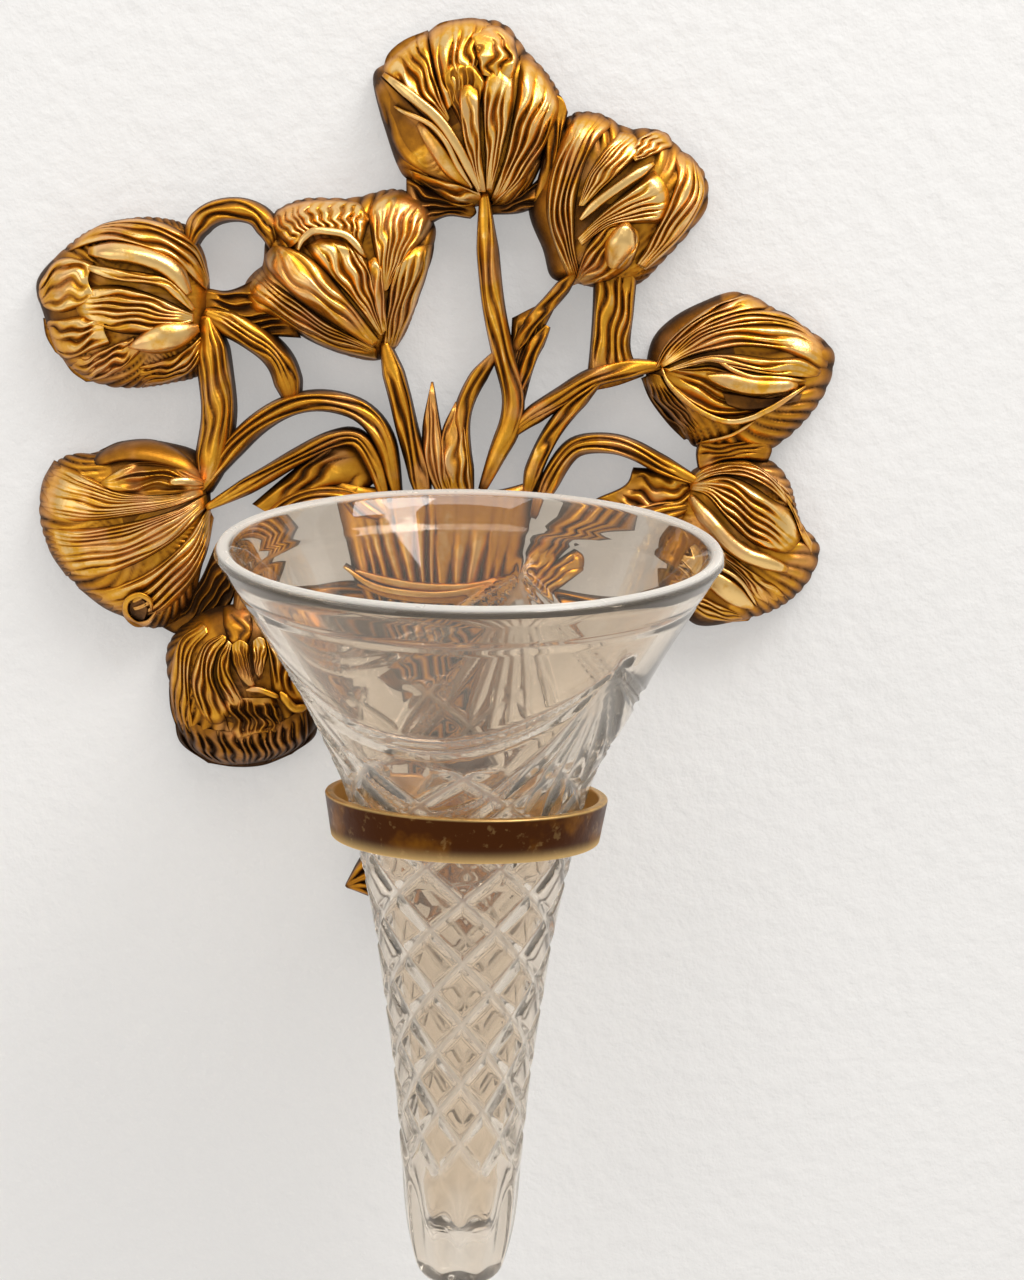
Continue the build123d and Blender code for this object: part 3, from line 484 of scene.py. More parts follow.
def petal_sheet(form, seed):
    """Pixels, carved depths and darkening of the grid of one petal or band: patina and painted shade."""
    rng = np.random.default_rng(seed)
    ribs = form["ribs"]
    far = near = None
    if "line" in form:
        left, right = band_edges(form["line"], form["width"])
        start, more, rows = BAND_GRID
    else:
        left, right, far, near = form["left"], form["right"], form["far"], form["near"]
        start, more, rows = PETAL_GRID
    columns = start + more * ribs
    left, right = smooth_line(left, rows + 1), smooth_line(right, rows + 1)
    u = np.linspace(0, 1, columns + 1)[:, None]
    v = np.linspace(0, 1, rows + 1)[None, :]
    at = (1 - u)[..., None] * left[None] + u[..., None] * right[None]
    if far:
        arc = smooth_line(far, columns + 1)
        at += v[..., None] * (arc - ((1 - u) * left[-1] + u * right[-1]))[:, None]
    if near:
        arc = smooth_line(near, columns + 1)
        at += (1 - v)[..., None] * (arc - ((1 - u) * left[0] + u * right[0]))[:, None]
    width = (np.linalg.norm(at[-1] - at[0], axis=-1) * PX_TO_MM)[None, :]
    # Uneven ribs: each has its own width, height and length
    edges = np.cumsum(np.concatenate(([0], rng.uniform(0.55, 1.5, ribs))))
    turn = np.interp(u, edges / edges[-1], np.arange(ribs + 1.0))
    wave = v * rng.uniform(0.8, 1.5) + u * rng.uniform(-0.6, 0.6) + rng.uniform(0, 1)
    sway = 0.3 * np.sin(2 * np.pi * wave)
    sway = sway + 0.14 * np.sin(2 * np.pi * (v * rng.uniform(2.2, 3.4) - u + rng.uniform(0, 1)))
    turn = turn + sway * ease(0, 0.15, u) * ease(0, 0.15, 1 - u)
    which = np.clip(turn.astype(int), 0, ribs - 1)
    tall = rng.uniform(0.6, 1.2, ribs)[which]
    starts = rng.uniform(-0.04, 0.16, ribs)[which]
    ends = rng.uniform(-0.04, 0.22, ribs)[which]
    shown = ease(0, 0.16, v - starts) * ease(0, 0.2, 1 - ends - v)
    rib = rib_height(turn, form["cut"])
    # Some ribs fork into two towards the tip
    fork = (rng.uniform(0, 1, ribs) > 0.6)[which] * ease(0.4, 0.75, v) * (ribs > 2)
    rib = rib - 0.3 * fork * (1 - rib_height(2 * turn, "fold")) * rib
    room = np.clip(width / max(ribs, 1) / 2.0, 0.12, 1)
    lump = 0.12 * np.sin(9 * v + 5 * turn + seed) + 0.08 * np.sin(23 * v - 3 * turn + 2 * seed)
    ridge = form["relief"] * shown * room * (1.9 * tall * (rib - 0.62) + lump)
    side = np.abs(2 * u - 1)
    drop = 1.4 * np.clip(width / 5, 0.3, 1) * ease(0.7, 1.02, side) ** 1.5
    drop = drop + 1.2 * ease(0.88, 1.0, v) ** 1.5
    swell = form["crown"] * np.clip(width / 8, 0.25, 1) * (1 - side**2)
    # Darkening: patina in the rib valleys, painted shade where the petal drops at its edges, and the
    # petal's own painted shade
    valley = np.clip(1 - rib, 0, 1) ** 1.1 * (0.25 + 0.75 * shown) * (form["relief"] > 0)
    rim = np.maximum(ease(0.84, 1, side) + 0 * v, ease(0.94, 1, v) + 0 * u)
    return at, swell + ridge - drop, np.clip(0.78 * valley + 0.5 * rim + form["dark"], 0, 1)


def grid_spots(verts, columns, rows):
    """Column and row of each vertex of a grid that is still flat and two wide."""
    spots = np.array([vert.co[:2] for vert in verts])
    steps = np.rint((spots + 1) / 2 * (columns, rows)).astype(int)
    return steps[:, 0], steps[:, 1]


def raise_petal(mesh, recess, form, seed, ground=None, foot=0.0):
    """Adds one closed ribbed petal to a mesh: lying on a dome, or down to a flat foot.

    The foot is in millimetres in front of the wall.
    """
    at, carved, dark = petal_sheet(form, seed)
    columns, rows = at.shape[0] - 1, at.shape[1] - 1
    rise = smooth_line(list(enumerate(form["rise"])), rows + 1)[:, 1][None, :]
    if ground:
        dome = ground(at)
        depth = np.maximum(dome + np.maximum(0.5 * rise - 3.2, 0.3) + carved, dome * 0.9 + 0.3)
        below = wall_points(at, np.maximum(dome - 1.4, 0.2))
    else:
        depth = np.maximum(rise + carved, foot + 0.4)
    place = wall_points(at, depth)
    grid = bmesh.ops.create_grid(mesh, x_segments=columns, y_segments=rows, size=1)["verts"]
    faces = list(dict.fromkeys(face for vert in grid for face in vert.link_faces))
    if ground:
        made = bmesh.ops.extrude_face_region(mesh, geom=faces, use_keep_orig=True)["geom"]
        under = [g for g in made if isinstance(g, bmesh.types.BMVert)]
        # The underside of the petal takes painted shade
        for vert, i, j in zip(under, *grid_spots(under, columns, rows)):
            vert.co = below[i, j]
            vert[recess] = UNDER_SHADE
    for vert, i, j in zip(grid, *grid_spots(grid, columns, rows)):
        vert.co = place[i, j]
        vert[recess] = dark[i, j]
    if not ground:
        edges = dict.fromkeys(edge for face in faces for edge in face.edges)
        rim = [edge for edge in edges if len(edge.link_faces) == 1]
        walls = bmesh.ops.extrude_edge_only(mesh, edges=rim)["geom"]
        # The side walls down to the foot take painted shade
        for vert in (g for g in walls if isinstance(g, bmesh.types.BMVert)):
            vert.co.y = -foot * MM
            vert[recess] = UNDER_SHADE
        rim = [g for g in walls if isinstance(g, bmesh.types.BMEdge) and len(g.link_faces) == 1]
        for face in bmesh.ops.holes_fill(mesh, edges=rim, sides=0)["faces"]:
            for edge in face.edges:
                edge.smooth = False


class TulipBody:
    """A tulip's domed body, ribbed from the foot of its petals out to its edge."""

    def __init__(self, middle, base, plain, ribs, outline, crown, seed):
        self.middle, self.base = np.array(middle, float), np.array(base, float)
        self.edge = self.middle + BODY_SHARE * (smooth_line(outline, 288, closed=True) - self.middle)
        self.crown, self.ribs, self.seed = crown, ribs, seed
        away = self.edge - self.middle
        turn = np.arctan2(away[:, 1], away[:, 0])
        order = np.argsort(turn)
        self.turns, self.reach = turn[order], np.hypot(*away.T)[order]
        self.plain = np.arctan2(plain[1] - middle[1], plain[0] - middle[0])

    def share(self, pixels):
        """How far from the middle to the edge each pixel is, from 0 to 1."""
        away = pixels - self.middle
        turn = np.arctan2(away[..., 1], away[..., 0])
        reach = np.interp(turn, self.turns, self.reach, period=2 * math.pi)
        return np.clip(np.hypot(away[..., 0], away[..., 1]) / reach, 0, 1)

    def ground(self, pixels):
        """Depth of the plain dome at each pixel, in millimetres."""
        rise = np.clip(1 - self.share(pixels) ** 3.2, 0, 1) ** 0.5
        return EDGE_DEPTH + (self.crown - EDGE_DEPTH) * rise

    def ribbing(self, pixels):
        """Height from 0 to 1 of the ribs at each pixel, and how strongly they show."""
        away = pixels - self.base
        axis = np.arctan2(*(self.middle - self.base)[::-1])
        far = np.hypot(away[..., 0], away[..., 1])
        turn = (np.arctan2(away[..., 1], away[..., 0]) - axis + np.pi) % (2 * np.pi) - np.pi
        turn = turn + 0.05 * np.sin(far / 17 + self.seed) + 0.04 * np.sin(turn * 9 + self.seed)
        rib = rib_height(turn / np.pi * self.ribs * 2 + 0.5, "fold")
        out = pixels - self.middle
        off = np.arctan2(out[..., 1], out[..., 0]) - self.plain
        off = np.abs((off + np.pi) % (2 * np.pi) - np.pi)
        return rib, np.clip(far / 110, 0.1, 1) * ease(0.45, 0.8, off)

    def raise_form(self, mesh, recess, hollow_back):
        """Shapes a sphere into the body, with its hollow back."""
        around, down = len(self.edge), 64
        ball = bmesh.ops.create_uvsphere(mesh, u_segments=around, v_segments=down, radius=1)["verts"]
        co = np.array([vert.co for vert in ball])
        i = np.rint(np.arctan2(co[:, 1], co[:, 0]) / (2 * np.pi) * around).astype(int) % around
        fall = np.arccos(np.clip(co[:, 2], -1, 1)) / np.pi * 2
        edge = self.edge[i]
        front = fall <= 1
        share = np.where(front, np.sin(np.clip(fall, 0, 1) * np.pi / 2), 1.0)
        behind = fall > BACK_FROM
        back = np.clip((fall - BACK_FROM) / 0.9, 0, 1)
        inner = 0.84 * np.cos(back * np.pi / 2) if hollow_back else 0.98 * (1 - back)
        share = np.where(behind, inner, share)
        pixel = self.middle + share[:, None] * (edge - self.middle)
        rib, strength = self.ribbing(pixel)
        out = edge - self.middle
        out = out / np.linalg.norm(out, axis=1)[:, None]
        scallop = (rib - 1.0) * strength * ease(0.8, 1.0, share) * (~behind) * 1.6
        pixel = pixel + out * scallop[:, None]
        deep = self.ground(pixel) + 1.5 * strength * (rib - 0.6) * ease(0.5, 0.8, share)
        deep = np.where(front, deep, 0.0)
        ceiling = np.clip(self.ground(pixel) - SHELL, 0, HOLLOW_REACH) * ease(0, 0.3, back)
        deep = np.where(behind, ceiling if hollow_back else 0.0, deep)
        # Room behind the hanging hole
        room = 1 - ease(4.2, 5.2, np.hypot(*(pixel - HANG_HOLE).T) * PX_TO_MM)
        deep = np.where(behind, np.maximum(deep, HANG_ROOM * room), deep)
        place = wall_points(pixel, np.maximum(deep, BACK_GAP))
        # Darkening: patina in the rib valleys, painted shade towards the outline where the dome falls
        # away, and painted shade on the plain side, which faces away from the light
        smooth = 1 - ease(0.0, 0.12, strength)
        dark = 0.18 + 0.6 * (1 - rib) * strength + 0.25 * ease(0.85, 1, share) + 0.48 * smooth
        dark = np.where(front, dark, BACK_DARKENING)
        for vert, spot, shade in zip(ball, place, dark):
            vert.co = spot
            vert[recess] = shade


def link_mesh(name, mesh, material):
    """Makes the mesh an object of the scene, in this material."""
    data = bpy.data.meshes.new(name)
    mesh.to_mesh(data)
    mesh.free()
    data.materials.append(material)
    piece = bpy.data.objects.new(name, data)
    bpy.context.scene.collection.objects.link(piece)
    return piece


def finish_piece(name, mesh, body, material, node):
    """Makes the mesh a smooth object that rides on its body and stands in for its node."""
    bmesh.ops.recalc_face_normals(mesh, faces=mesh.faces)
    for face in mesh.faces:
        face.smooth = True
    piece = link_mesh(name, mesh, material)
    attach(piece, body)
    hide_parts(node)


class Wire:
    """A shader socket or number that adds Math nodes when it is reckoned with."""

    def __init__(self, graph, source):
        self.graph, self.source = graph, source

    def _math(self, operation, *values):
        return self.graph.node("Math", {"operation": operation}, dict(enumerate(values)))[0]

    def __add__(self, other):
        return self._math("ADD", self, other)

    def __radd__(self, other):
        return self._math("ADD", other, self)

    def __sub__(self, other):
        return self._math("SUBTRACT", self, other)

    def __rsub__(self, other):
        return self._math("SUBTRACT", other, self)

    def __mul__(self, other):
        return self._math("MULTIPLY", self, other)

    def __rmul__(self, other):
        return self._math("MULTIPLY", other, self)

    def power(self, other):
        return self._math("POWER", self, other)

    def clipped(self):
        return self.graph.node("Clamp", {}, {"Value": self, "Min": 0.0, "Max": 1.0})[0]


class Graph:
    """A material's nodes."""

    def __init__(self, name):
        self.material = bpy.data.materials.new(name)
        self.material.use_nodes = True
        self.tree = self.material.node_tree
        self.tree.nodes.clear()

    def node(self, kind, settings, values):
        """Makes a node, sets it up, fills or links its sockets, and returns its outputs."""
        made = self.tree.nodes.new("ShaderNode" + kind)
        for key, value in settings.items():
            if key == "stops":
                ramp = made.color_ramp
                while len(ramp.elements) < len(value):
                    ramp.elements.new(0.5)
                for element, (place, colour) in zip(ramp.elements, value):
                    element.position, element.color = place, (*colour, 1)
            else:
                setattr(made, key, value)
        for key, value in values.items():
            socket = made.inputs[key]
            if isinstance(value, Wire):
                self.tree.links.new(value.source, socket)
            elif value is not None:
                socket.default_value = value
        return [Wire(self, out) for out in made.outputs]

    def blend(self, factor, first, second):
        """Mixes two colours."""
        first, second = (c if isinstance(c, Wire) else (*c, 1) for c in (first, second))
        return self.node("Mix", {"data_type": "RGBA"}, {0: factor, 6: first, 7: second})[2]

    def place(self):
        """Where the shaded point is, in its object's own coordinates."""
        return self.node("TexCoord", {}, {})[3]

    def axes(self, where):
        """The x, y and z of a place."""
        return self.node("SeparateXYZ", {}, {"Vector": where})

    def attribute(self, name):
        """A value kept with the mesh's vertices."""
        return self.node("Attribute", {"attribute_name": name}, {})[2]

    def cloud(self, where, scale, detail=4.0, rough=0.55):
        """Noise from 0 to 1."""
        sockets = {"Vector": where, "Scale": scale, "Detail": detail, "Roughness": rough}
        return self.node("TexNoise", {}, sockets)[0]

    def stepped(self, value, low, high):
        """Smooth step from 0 to 1 between two values."""
        sockets = {"Value": value, "From Min": low, "From Max": high}
        return self.node("MapRange", {"interpolation_type": "SMOOTHSTEP"}, sockets)[0]

    def bump(self, strength, distance, height):
        """A normal that follows a height."""
        sockets = {"Strength": strength, "Distance": distance, "Height": height}
        return self.node("Bump", {}, sockets)[0]

    def principled(self, sockets):
        """A surface with these sockets filled."""
        return self.node("BsdfPrincipled", {}, sockets)[0]

    def surface(self, shader):
        """Links the shader to the output and returns the material."""
        self.node("OutputMaterial", {}, {"Surface": shader})
        return self.material


def cast_brass(colours):
    """Old cast brass: rubbed pale on the crests with a painted highlight there, brown gold on the
    flanks, near black patina in the cuts, and painted shade in gaps, under the forms, on plain sides,
    near the wall and low down.
    """
    g = Graph("aged_cast_brass_painted_light")
    where = g.place()
    # Patina in the valleys and painted shade, kept with the vertices
    recess = g.attribute("recess")
    # Painted shade: ambient occlusion darkens narrow gaps between the forms
    close = g.node("AmbientOcclusion", {"samples": 6}, {"Distance": 0.005})[1]
    broad = g.cloud(where, 42.0, 3.0)
    spots = g.cloud(where, 230.0, 5.0, 0.65)
    pits = g.cloud(where, 1100.0, 3.0, 0.6)
    depth, height = g.axes(where)[1:3]
    # Painted shade: darker and duller close to the wall and low on the casting
    shade_near_wall_and_low = (1 - g.stepped(0 - depth, 0.004, 0.0115)) * 0.36 + g.stepped(0 - height, 0.105, 0.165) * 0.2
    dark = recess * 0.75 + (1 - close) * 0.42 + (spots - 0.5) * 0.5 + (broad - 0.5) * 0.5 + shade_near_wall_and_low
    dark = dark.clipped()
    # The palest stop, on the crests, is rubbed brass and a painted highlight; the darker stops carry
    # patina and painted shade
    stops = (
        (0.02, colours.pale_brass_and_highlight), (0.12, colours.brass), (0.36, colours.flank), (0.66, colours.tarnish_and_shade),
        (0.98, colours.recess),
    )
    colour = g.node("ValToRGB", {"stops": stops}, {"Fac": dark})[0]
    rosy = g.stepped(g.cloud(where, 90.0, 2.0), 0.5, 0.66)
    return g.surface(g.principled({
        "Base Color": g.blend(rosy * (1 - dark) * 0.5, colour, colours.rosy),
        "Metallic": 1 - dark * 0.3, "Roughness": 0.24 + dark * 0.3 + spots * 0.12,
        "Normal": g.bump(0.4, 0.0004, spots * 0.6 + pits * 0.4),
    }))


def strap_brass(colours):
    """Hoop, arm and plate: red brown patina, with painted light golden inside the hoop, golden also
    along its top rim, and painted shade near black on the hoop's underside.
    """
    g = Graph("aged_strap_brass_painted_light")
    where = g.place()
    x, y, z = g.axes(where)
    broad = g.cloud(where, 70.0, 4.0, 0.6)
    fine = g.cloud(where, 420.0, 4.0, 0.6)
    u = (x - HOOP_MIDDLE[0] * MM) * (1 / (HOOP_HALF[0] * MM))
    v = (y - HOOP_MIDDLE[1] * MM) * (1 / (HOOP_HALF[1] * MM))
    out = (u * u + v * v).power(0.5)
    # Painted light: the inside of the hoop is turned golden where light through the glass falls on it
    inside = 1 - g.stepped(out, 0.94, 0.965)
    below = (SEAT[2] * MM - z) * (1 / (HOOP_HEIGHT * MM))
    # Paler along the top rim, and pale specks of wear
    pale_marks = (1 - g.stepped(below, 0.0, 0.07)) + (1 - g.stepped(fine, 0.3, 0.42)) * 0.2
    patina = g.blend(g.stepped(broad, 0.46, 0.64) * 0.7, colours.patina, colours.tarnish_and_shade)
    # Painted shade: the hoop's underside is turned near black, rougher and less metallic
    under = g.stepped(below, 0.6, 1.0)
    patina = g.blend(under * 0.9, patina, colours.recess)
    patina = g.blend(inside * 0.9, patina, colours.pale_brass_and_highlight)
    return g.surface(g.principled({
        "Base Color": g.blend((pale_marks * (0.35 + fine * 0.9)).clipped(), patina, colours.pale_brass_and_highlight),
        "Metallic": 0.95 - under * 0.9, "Roughness": 0.3 + fine * 0.2 + under * 0.5,
        "Normal": g.bump(0.3, 0.0003, fine),
    }))


def screw_brass(colours):
    """Turned brass of the small fastenings."""
    g = Graph("aged_screw_brass")
    fine = g.cloud(g.place(), 700.0, 3.0)
    colour = g.blend(g.stepped(fine, 0.4, 0.7) * 0.5, colours.brass, colours.tarnish_and_shade)
    return g.surface(g.principled({
        "Base Color": colour, "Metallic": 1.0, "Roughness": 0.25 + fine * 0.2,
    }))


def clear_glass(colours):
    """Old lead glass with a warm tint, a little dusty, whiter in its cuts, and with a painted highlight
    of white diffuse at its rim.
    """
    g = Graph("aged_clear_glass_painted_highlight")
    where = g.place()
    dust = g.cloud(where, 60.0, 4.0, 0.6)
    x, y, z = g.axes(where)
    axis = vase_frame().to_3x3().col[2]
    height = x * axis.x + y * axis.y + z * axis.z - axis.dot(Vector(SEAT) * MM)
    # Painted highlight: the rim is made rougher and mixed with white diffuse, so that it looks bright
    ground = g.stepped(height, (RIM_TOP[0] - 1.4) * MM, (RIM_TOP[0] - 0.5) * MM)
    shader = g.principled({
        "Base Color": (*colours.glass, 1), "Roughness": 0.01 + dust * 0.03 + ground * 0.25,
        "IOR": 1.52, "Transmission Weight": 0.96, "Specular IOR Level": 0.4,
    })
    # White diffuse, mixed in as the painted highlight at the rim and a little in the cuts
    pale_marks = g.node("BsdfDiffuse", {}, {"Color": (0.95, 0.92, 0.86, 1)})[0]
    share = (ground * 0.5 + g.attribute("cut") * 0.28).clipped()
    return g.surface(g.node("MixShader", {}, {0: share, 1: shader, 2: pale_marks})[0])


def profile_line(points, step):
    """Smooth turned profile through (height, radius) points, at a step that depends on height."""
    p = smooth_line(points, 600)
    length = np.linalg.norm(np.diff(p, axis=0), axis=1)
    along = np.concatenate(([0], np.cumsum(length / step(p[1:, 0]))))
    at = np.linspace(0, along[-1], int(along[-1]) + 1)
    return np.stack([np.interp(at, along, p[:, k]) for k in (0, 1)], axis=1)


def vase_frame():
    """Matrix that brings the vase from its own upright axis to its leaning place in the hoop."""
    axis = Vector((math.sin(VASE_SIDE), -math.sin(VASE_LEAN), math.cos(VASE_LEAN))).normalized()
    side = Vector((0, 1, 0)).cross(axis).normalized()
    front = axis.cross(side)
    turn = Matrix((side, front, axis)).transposed().to_4x4()
    return Matrix.Translation(Vector(SEAT) * MM) @ turn


def cut_depth(angle, height, radius, sizes):
    """How deep the cutter has gone at each point of the outside, in millimetres."""
    depth = np.zeros_like(angle)

    def groove(distance, half, deep):
        return deep * np.clip(1 - np.abs(distance) / half, 0, 1)

    # Three festoons, each of two swags of two lines, hung from three knots
    third = 2 * math.pi / 3
    turn = (angle - KNOT_TURN) % third / third
    sag = 4 * turn * (1 - turn)
    slope = np.abs(4 * (1 - 2 * turn)) / (radius * third)
    for top, drop in SWAGS:
        line = top - drop * sag
        across = (height - line) / np.sqrt(1 + (drop * slope) ** 2)
        depth = np.maximum(depth, groove(across, SWAG_HALF, sizes.swag_depth / MM))
    # Fan of long leaf cuts below each knot
    spread = (angle - KNOT_TURN + third / 2) % third - third / 2
    for lean, low in FAN:
        t = (FAN_TOP - height) / (FAN_TOP - low)
        inside = (t > 0) & (t < 1)
        t = np.clip(t, 0, 1)
        centre = math.radians(lean) * t**1.4
        half = 0.3 + 2.3 * np.sin(np.pi * t**0.8)
        across = (spread - centre) * radius
        depth = np.maximum(depth, np.where(inside, groove(across, half, FAN_DEPTH), 0))
    # Round boss cut of the knot
    far = np.hypot(spread * radius, height - KNOT_HEIGHT)
    depth = np.maximum(depth, groove(far, KNOT_HALF, KNOT_DEPTH))
    # Diamond lattice
    edge = ease(-16.5, -14.5, -height) * ease(-86, -82, height)
    steep = np.sqrt((1 / LATTICE_PITCH) ** 2 + (LATTICE_TURNS / (2 * np.pi * radius)) ** 2)
    for way in (-1, 1):
        line = angle / (2 * math.pi) * LATTICE_TURNS + way * (height + LATTICE_START) / LATTICE_PITCH
        line = np.minimum(line % 1, 1 - line % 1)
        cut = groove(line / steep, LATTICE_HALF, sizes.lattice_depth / MM)
        depth = np.maximum(depth, edge * cut)
    # Bands above the lattice and under the rim, and soft flutes below the lattice
    for place in BAND_CUTS:
        depth = np.maximum(depth, groove(height - place, 0.8, 0.35))
    flute = ease(84, 92, -height) * ease(-114, -108, height)
    return np.maximum(depth, flute * FLUTE_DEPTH * (0.5 + 0.5 * np.cos(angle * LATTICE_TURNS)))


def length_property(name, description, default):
    """A length that a user can set, in metres."""
    return bpy.props.FloatProperty(
        name=name, description=description, default=default, unit="LENGTH", min=0.0, precision=4
    )


def colour_property(name, description, default):
    """A colour that a user can set."""
    return bpy.props.FloatVectorProperty(
        name=name, description=description, default=default, subtype="COLOR", min=0.0, max=1.0
    )


class WallVaseSizes(bpy.types.PropertyGroup):
    swag_depth: length_property("Swag depth", "Depth of the festoon cuts", 0.001)
    lattice_depth: length_property("Lattice depth", "Depth of the diamond cuts", 0.0013)
    body_crown: length_property("Tulip body", "How far a tulip's body stands off the wall", 0.012)


class WallVaseColours(bpy.types.PropertyGroup):
    # The pale crest colour also serves as painted highlight and painted light
    pale_brass_and_highlight: colour_property("Crest", "Brass rubbed pale on the crests", (0.96, 0.64, 0.25))
    brass: colour_property("Brass", "Bright brass beside the crests", (0.84, 0.42, 0.04))
    flank: colour_property("Flank", "Brown gold of the flanks", (0.58, 0.24, 0.016))
    rosy: colour_property("Rosy brass", "Copper tone in the brass", (0.86, 0.46, 0.22))
    # The tarnish colour also serves as painted shade on the cast brass
    tarnish_and_shade: colour_property("Tarnish", "Brown tarnish", (0.28, 0.105, 0.008))
    # The near black colour serves for patina and for painted shade
    recess: colour_property("Recess", "Near black in the cuts", (0.05, 0.018, 0.002))
    patina: colour_property("Patina", "Red brown patina of the hoop", (0.075, 0.022, 0.005))
    glass: colour_property("Glass", "Tint of the glass", (0.895, 0.80, 0.68))
    wall: colour_property("Wall", "Pale wall and floor", (0.52, 0.515, 0.507))


def painted(g, colour, glow, normal=None):
    """Plain paint that also gives off a little light."""
    plain = g.node("BsdfDiffuse", {}, {"Color": (*colour, 1), "Normal": normal})[0]
    light = g.node("Emission", {}, {"Color": (1, 0.985, 0.965, 1), "Strength": glow})[0]
    return g.node("AddShader", {}, {0: plain, 1: light})[0]


def finish_named(name, make):
    """The finish of this name, made once."""
    return bpy.data.materials.get(name) or make(bpy.context.scene.wall_vase_colours)


class WALLVASE_OT_stage(bpy.types.Operator):
    """Wall, floor, lights and camera"""

    bl_idname = "wall_vase.stage"
    bl_label = "Stage and camera"

    def execute(self, context):
        colours = context.scene.wall_vase_colours
        g = Graph("stage_wall")
        where = g.place()
        grain = g.cloud(where, 160.0, 4.0, 0.6)
        front = painted(g, colours.wall, WALL_GLOW, g.bump(0.8, 0.001, grain))
        # The wall is open from behind, so that the part's back can be seen
        behind = g.node("NewGeometry", {}, {})[6]
        open_back = g.node("BsdfTransparent", {}, {})[0]
        wall_paint = g.surface(g.node("MixShader", {}, {0: behind, 1: front, 2: open_back})[0])
        g = Graph("stage_floor")
        floor_paint = g.surface(painted(g, colours.wall, FLOOR_GLOW))
        upright = Matrix.Rotation(math.radians(90), 4, "X")
        for name, paint, half, centre, turn in (
            ("stage_wall", wall_paint, 1.2, (0, 0.0006, -0.1), upright),
            ("stage_floor", floor_paint, 2.4, (0, -1.2, -1.3), Matrix.Identity(4)),
        ):
            mesh = bmesh.new()
            bmesh.ops.create_grid(mesh, x_segments=2, y_segments=2, size=half)
            bmesh.ops.transform(mesh, matrix=Matrix.Translation(centre) @ turn, verts=mesh.verts)
            link_mesh(name, mesh, paint)

        aim = Vector(LIGHT_AIM)
        for name, (place, size, power, tone) in LIGHTS.items():
            lamp = bpy.data.lights.new(name, "AREA")
            lamp.shape, lamp.size, lamp.size_y = "RECTANGLE", *size
            lamp.energy, lamp.color = power, tone
            light = bpy.data.objects.new(name, lamp)
            light.location = place
            light.rotation_euler = (aim - Vector(place)).to_track_quat("-Z", "Y").to_euler()
            light.visible_camera = False
            context.scene.collection.objects.link(light)

        world = bpy.data.worlds.new("studio")
        world.use_nodes = True
        background = world.node_tree.nodes["Background"].inputs
        background[0].default_value = (0.95, 0.92, 0.89, 1)
        background[1].default_value = WORLD_LIGHT
        context.scene.world = world
        context.scene.view_settings.view_transform = "Standard"

        lens = bpy.data.cameras.new("view")
        lens.sensor_width, lens.lens = 36.0, 36.0 * FOCAL_PX / 1280
        lens.clip_start, lens.clip_end = 0.01, 20.0
        camera = bpy.data.objects.new("view", lens)
        across = Vector((1, 0, 0))
        up = Vector((0, math.sin(VIEW_PITCH), math.cos(VIEW_PITCH)))
        forward = Vector((0, math.cos(VIEW_PITCH), -math.sin(VIEW_PITCH)))
        rolled_x = math.cos(VIEW_ROLL) * across + math.sin(VIEW_ROLL) * up
        rolled_y = -math.sin(VIEW_ROLL) * across + math.cos(VIEW_ROLL) * up
        turn = Matrix((rolled_x, rolled_y, -forward)).transposed().to_4x4()
        camera.matrix_world = Matrix.Translation(Vector((VIEW_X, -VIEW_DISTANCE, VIEW_Z)) * MM) @ turn
        context.scene.collection.objects.link(camera)
        context.scene.camera = camera
        return {"FINISHED"}


class WALLVASE_OT_tulips(bpy.types.Operator):
    """The eight tulip heads of the casting"""

    bl_idname = "wall_vase.tulips"
    bl_label = "Tulip heads"

    def execute(self, context):
        sizes = context.scene.wall_vase_sizes
        brass = finish_named("aged_cast_brass_painted_light", cast_brass)
        for number, (name, form) in enumerate(TULIPS.items()):
            mesh = bmesh.new()
            recess = mesh.verts.layers.float.new("recess")
            body = TulipBody(*form, sizes.body_crown / MM, number)
            body.raise_form(mesh, recess, name != "top")
            for order, form in enumerate(PETALS[name]):
                raise_petal(mesh, recess, form, 100 * number + order, ground=body.ground)
            finish_piece(f"tulip_{name}", mesh, "hanger", brass, "bouquet_casting")
        return {"FINISHED"}


class WALLVASE_OT_stems(bpy.types.Operator):
    """Stems, gussets, bundle, leaves and tie of the casting"""

    bl_idname = "wall_vase.stems"
    bl_label = "Stems and tie"

    def execute(self, context):
        brass = finish_named("aged_cast_brass_painted_light", cast_brass)
        stems = [
            band(2 * half, rise, line, ribs=ribs, relief=1.0, crown=half * PX_TO_MM * 0.8, dark=0.2)
            for half, ribs, rise, line in STEMS
        ]
        for name, forms, foot in (
            ("stems", (*stems, *GUSSETS), 0.0), ("stem_bundle", BUNDLE, 0.0), ("leaves", LEAVES, 3.0),
            ("tie", TIE, 4.0),
        ):
            mesh = bmesh.new()
            recess = mesh.verts.layers.float.new("recess")
            for order, form in enumerate(forms):
                # No two backs lie in one plane
                back = foot + 0.05 * (order + 1)
                raise_petal(mesh, recess, form, 1000 + 50 * len(name) + order, foot=back)
            finish_piece(name, mesh, "hanger", brass, "bouquet_casting")
        return {"FINISHED"}


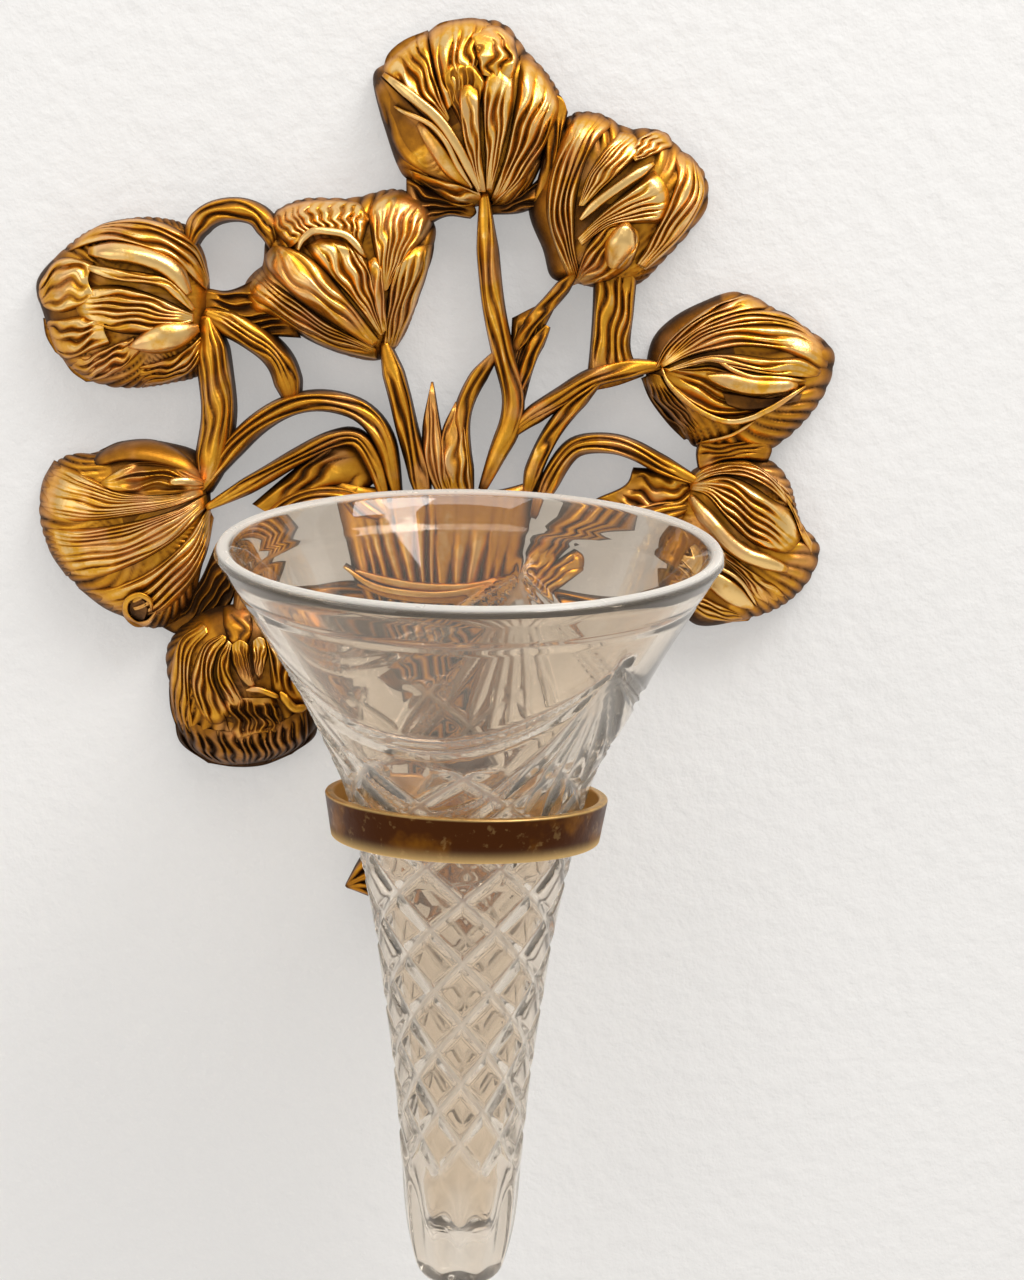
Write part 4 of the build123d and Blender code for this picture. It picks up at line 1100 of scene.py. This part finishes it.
class WALLVASE_OT_fittings(bpy.types.Operator):
    """Finishes of the hoop, arm, plate, rivets and screws"""

    bl_idname = "wall_vase.fittings"
    bl_label = "Hoop and fastenings"

    def execute(self, context):
        strap = finish_named("aged_strap_brass_painted_light", strap_brass)
        screw = finish_named("aged_screw_brass", screw_brass)
        for node, finish in (
            ("holder_ring", strap), ("ring_arm", strap), ("hanging_plate", strap),
            ("plate_rivets", screw), ("ring_screws", screw), ("arm_screws", screw),
        ):
            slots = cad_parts[node].material_slots
            if not slots:
                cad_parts[node].data.materials.append(finish)
            for place in slots:
                place.material = finish
        return {"FINISHED"}


def outside_step(height):
    """Step of the vase's outside profile in millimetres, finest along the lattice."""
    return np.where(height < -84, 1.4, np.where(height < -14, 0.6, 0.85))


class WALLVASE_OT_glass(bpy.types.Operator):
    """The cut glass vase"""

    bl_idname = "wall_vase.glass"
    bl_label = "Glass vase"

    def execute(self, context):
        sizes = context.scene.wall_vase_sizes
        outside = profile_line(GLASS_OUTSIDE, outside_step)
        lip = smooth_line((GLASS_OUTSIDE[-1], RIM_TOP, GLASS_INSIDE[-1]), 7)[1:-1]
        inside = profile_line(GLASS_INSIDE, lambda h: np.full_like(h, 3.4))[::-1]
        foot = np.array(((GLASS_OUTSIDE[0][0], 0.0), (GLASS_OUTSIDE[0][0], 3.0)))
        end = np.array(((CAVITY_END + 0.6, 1.6), (CAVITY_END, 0.0)))
        profile = np.concatenate((foot, outside, lip, inside, end))
        mesh = bmesh.new()
        cut_layer = mesh.verts.layers.float.new("cut")
        line = [mesh.verts.new((r * MM, 0, h * MM)) for h, r in profile]
        edges = [mesh.edges.new(pair) for pair in zip(line, line[1:])]
        bmesh.ops.spin(
            mesh, geom=line + edges, cent=(0, 0, 0), axis=(0, 0, 1), dvec=(0, 0, 0),
            angle=2 * math.pi, steps=GLASS_STEPS, use_merge=True, use_duplicate=False,
        )
        bmesh.ops.remove_doubles(mesh, verts=mesh.verts, dist=1e-6)
        bmesh.ops.recalc_face_normals(mesh, faces=mesh.faces)
        mesh.normal_update()
        verts = list(mesh.verts)
        co = np.array([v.co for v in verts]) / MM
        normal = np.array([v.normal for v in verts])
        radius = np.hypot(co[:, 0], co[:, 1])
        angle = np.arctan2(co[:, 0], -co[:, 1])
        outer = np.interp(co[:, 2], outside[:, 0], outside[:, 1])
        cut = cut_depth(angle, co[:, 2], np.maximum(radius, 1), sizes)
        cut = np.where((radius > outer - 0.05) & (co[:, 2] < CUT_TOP) & (co[:, 2] > CUT_LOW), cut, 0)
        co = co - normal * cut[:, None]
        for vert, place, gone in zip(verts, co * MM, cut):
            vert.co = place
            vert[cut_layer] = min(1.0, gone)
        bmesh.ops.transform(mesh, matrix=vase_frame(), verts=mesh.verts)
        glass = finish_named("aged_clear_glass_painted_highlight", clear_glass)
        finish_piece("cut_glass_vase", mesh, "vase", glass, "glass_vase")
        return {"FINISHED"}


class WALLVASE_PT_panel(bpy.types.Panel):
    bl_idname = "WALLVASE_PT_panel"
    bl_label = "Wall Vase"
    bl_space_type = "VIEW_3D"
    bl_region_type = "UI"
    bl_category = "Wall Vase"

    def draw(self, context):
        for group in (context.scene.wall_vase_sizes, context.scene.wall_vase_colours):
            for name in group.__annotations__:
                self.layout.prop(group, name)
        for operator in OPERATORS:
            self.layout.operator(operator.bl_idname)


OPERATORS = (
    WALLVASE_OT_stage, WALLVASE_OT_tulips, WALLVASE_OT_stems, WALLVASE_OT_fittings, WALLVASE_OT_glass,
)
CLASSES = (WallVaseSizes, WallVaseColours, *OPERATORS, WALLVASE_PT_panel)


def register():
    for each in CLASSES:
        bpy.utils.register_class(each)
    bpy.types.Scene.wall_vase_sizes = bpy.props.PointerProperty(type=WallVaseSizes)
    bpy.types.Scene.wall_vase_colours = bpy.props.PointerProperty(type=WallVaseColours)


def unregister():
    del bpy.types.Scene.wall_vase_sizes
    del bpy.types.Scene.wall_vase_colours
    for each in reversed(CLASSES):
        bpy.utils.unregister_class(each)


def main():
    register()
    bpy.ops.wall_vase.stage()
    bpy.ops.wall_vase.tulips()
    bpy.ops.wall_vase.stems()
    bpy.ops.wall_vase.fittings()
    bpy.ops.wall_vase.glass()


if __name__ == "__main__":
    main()
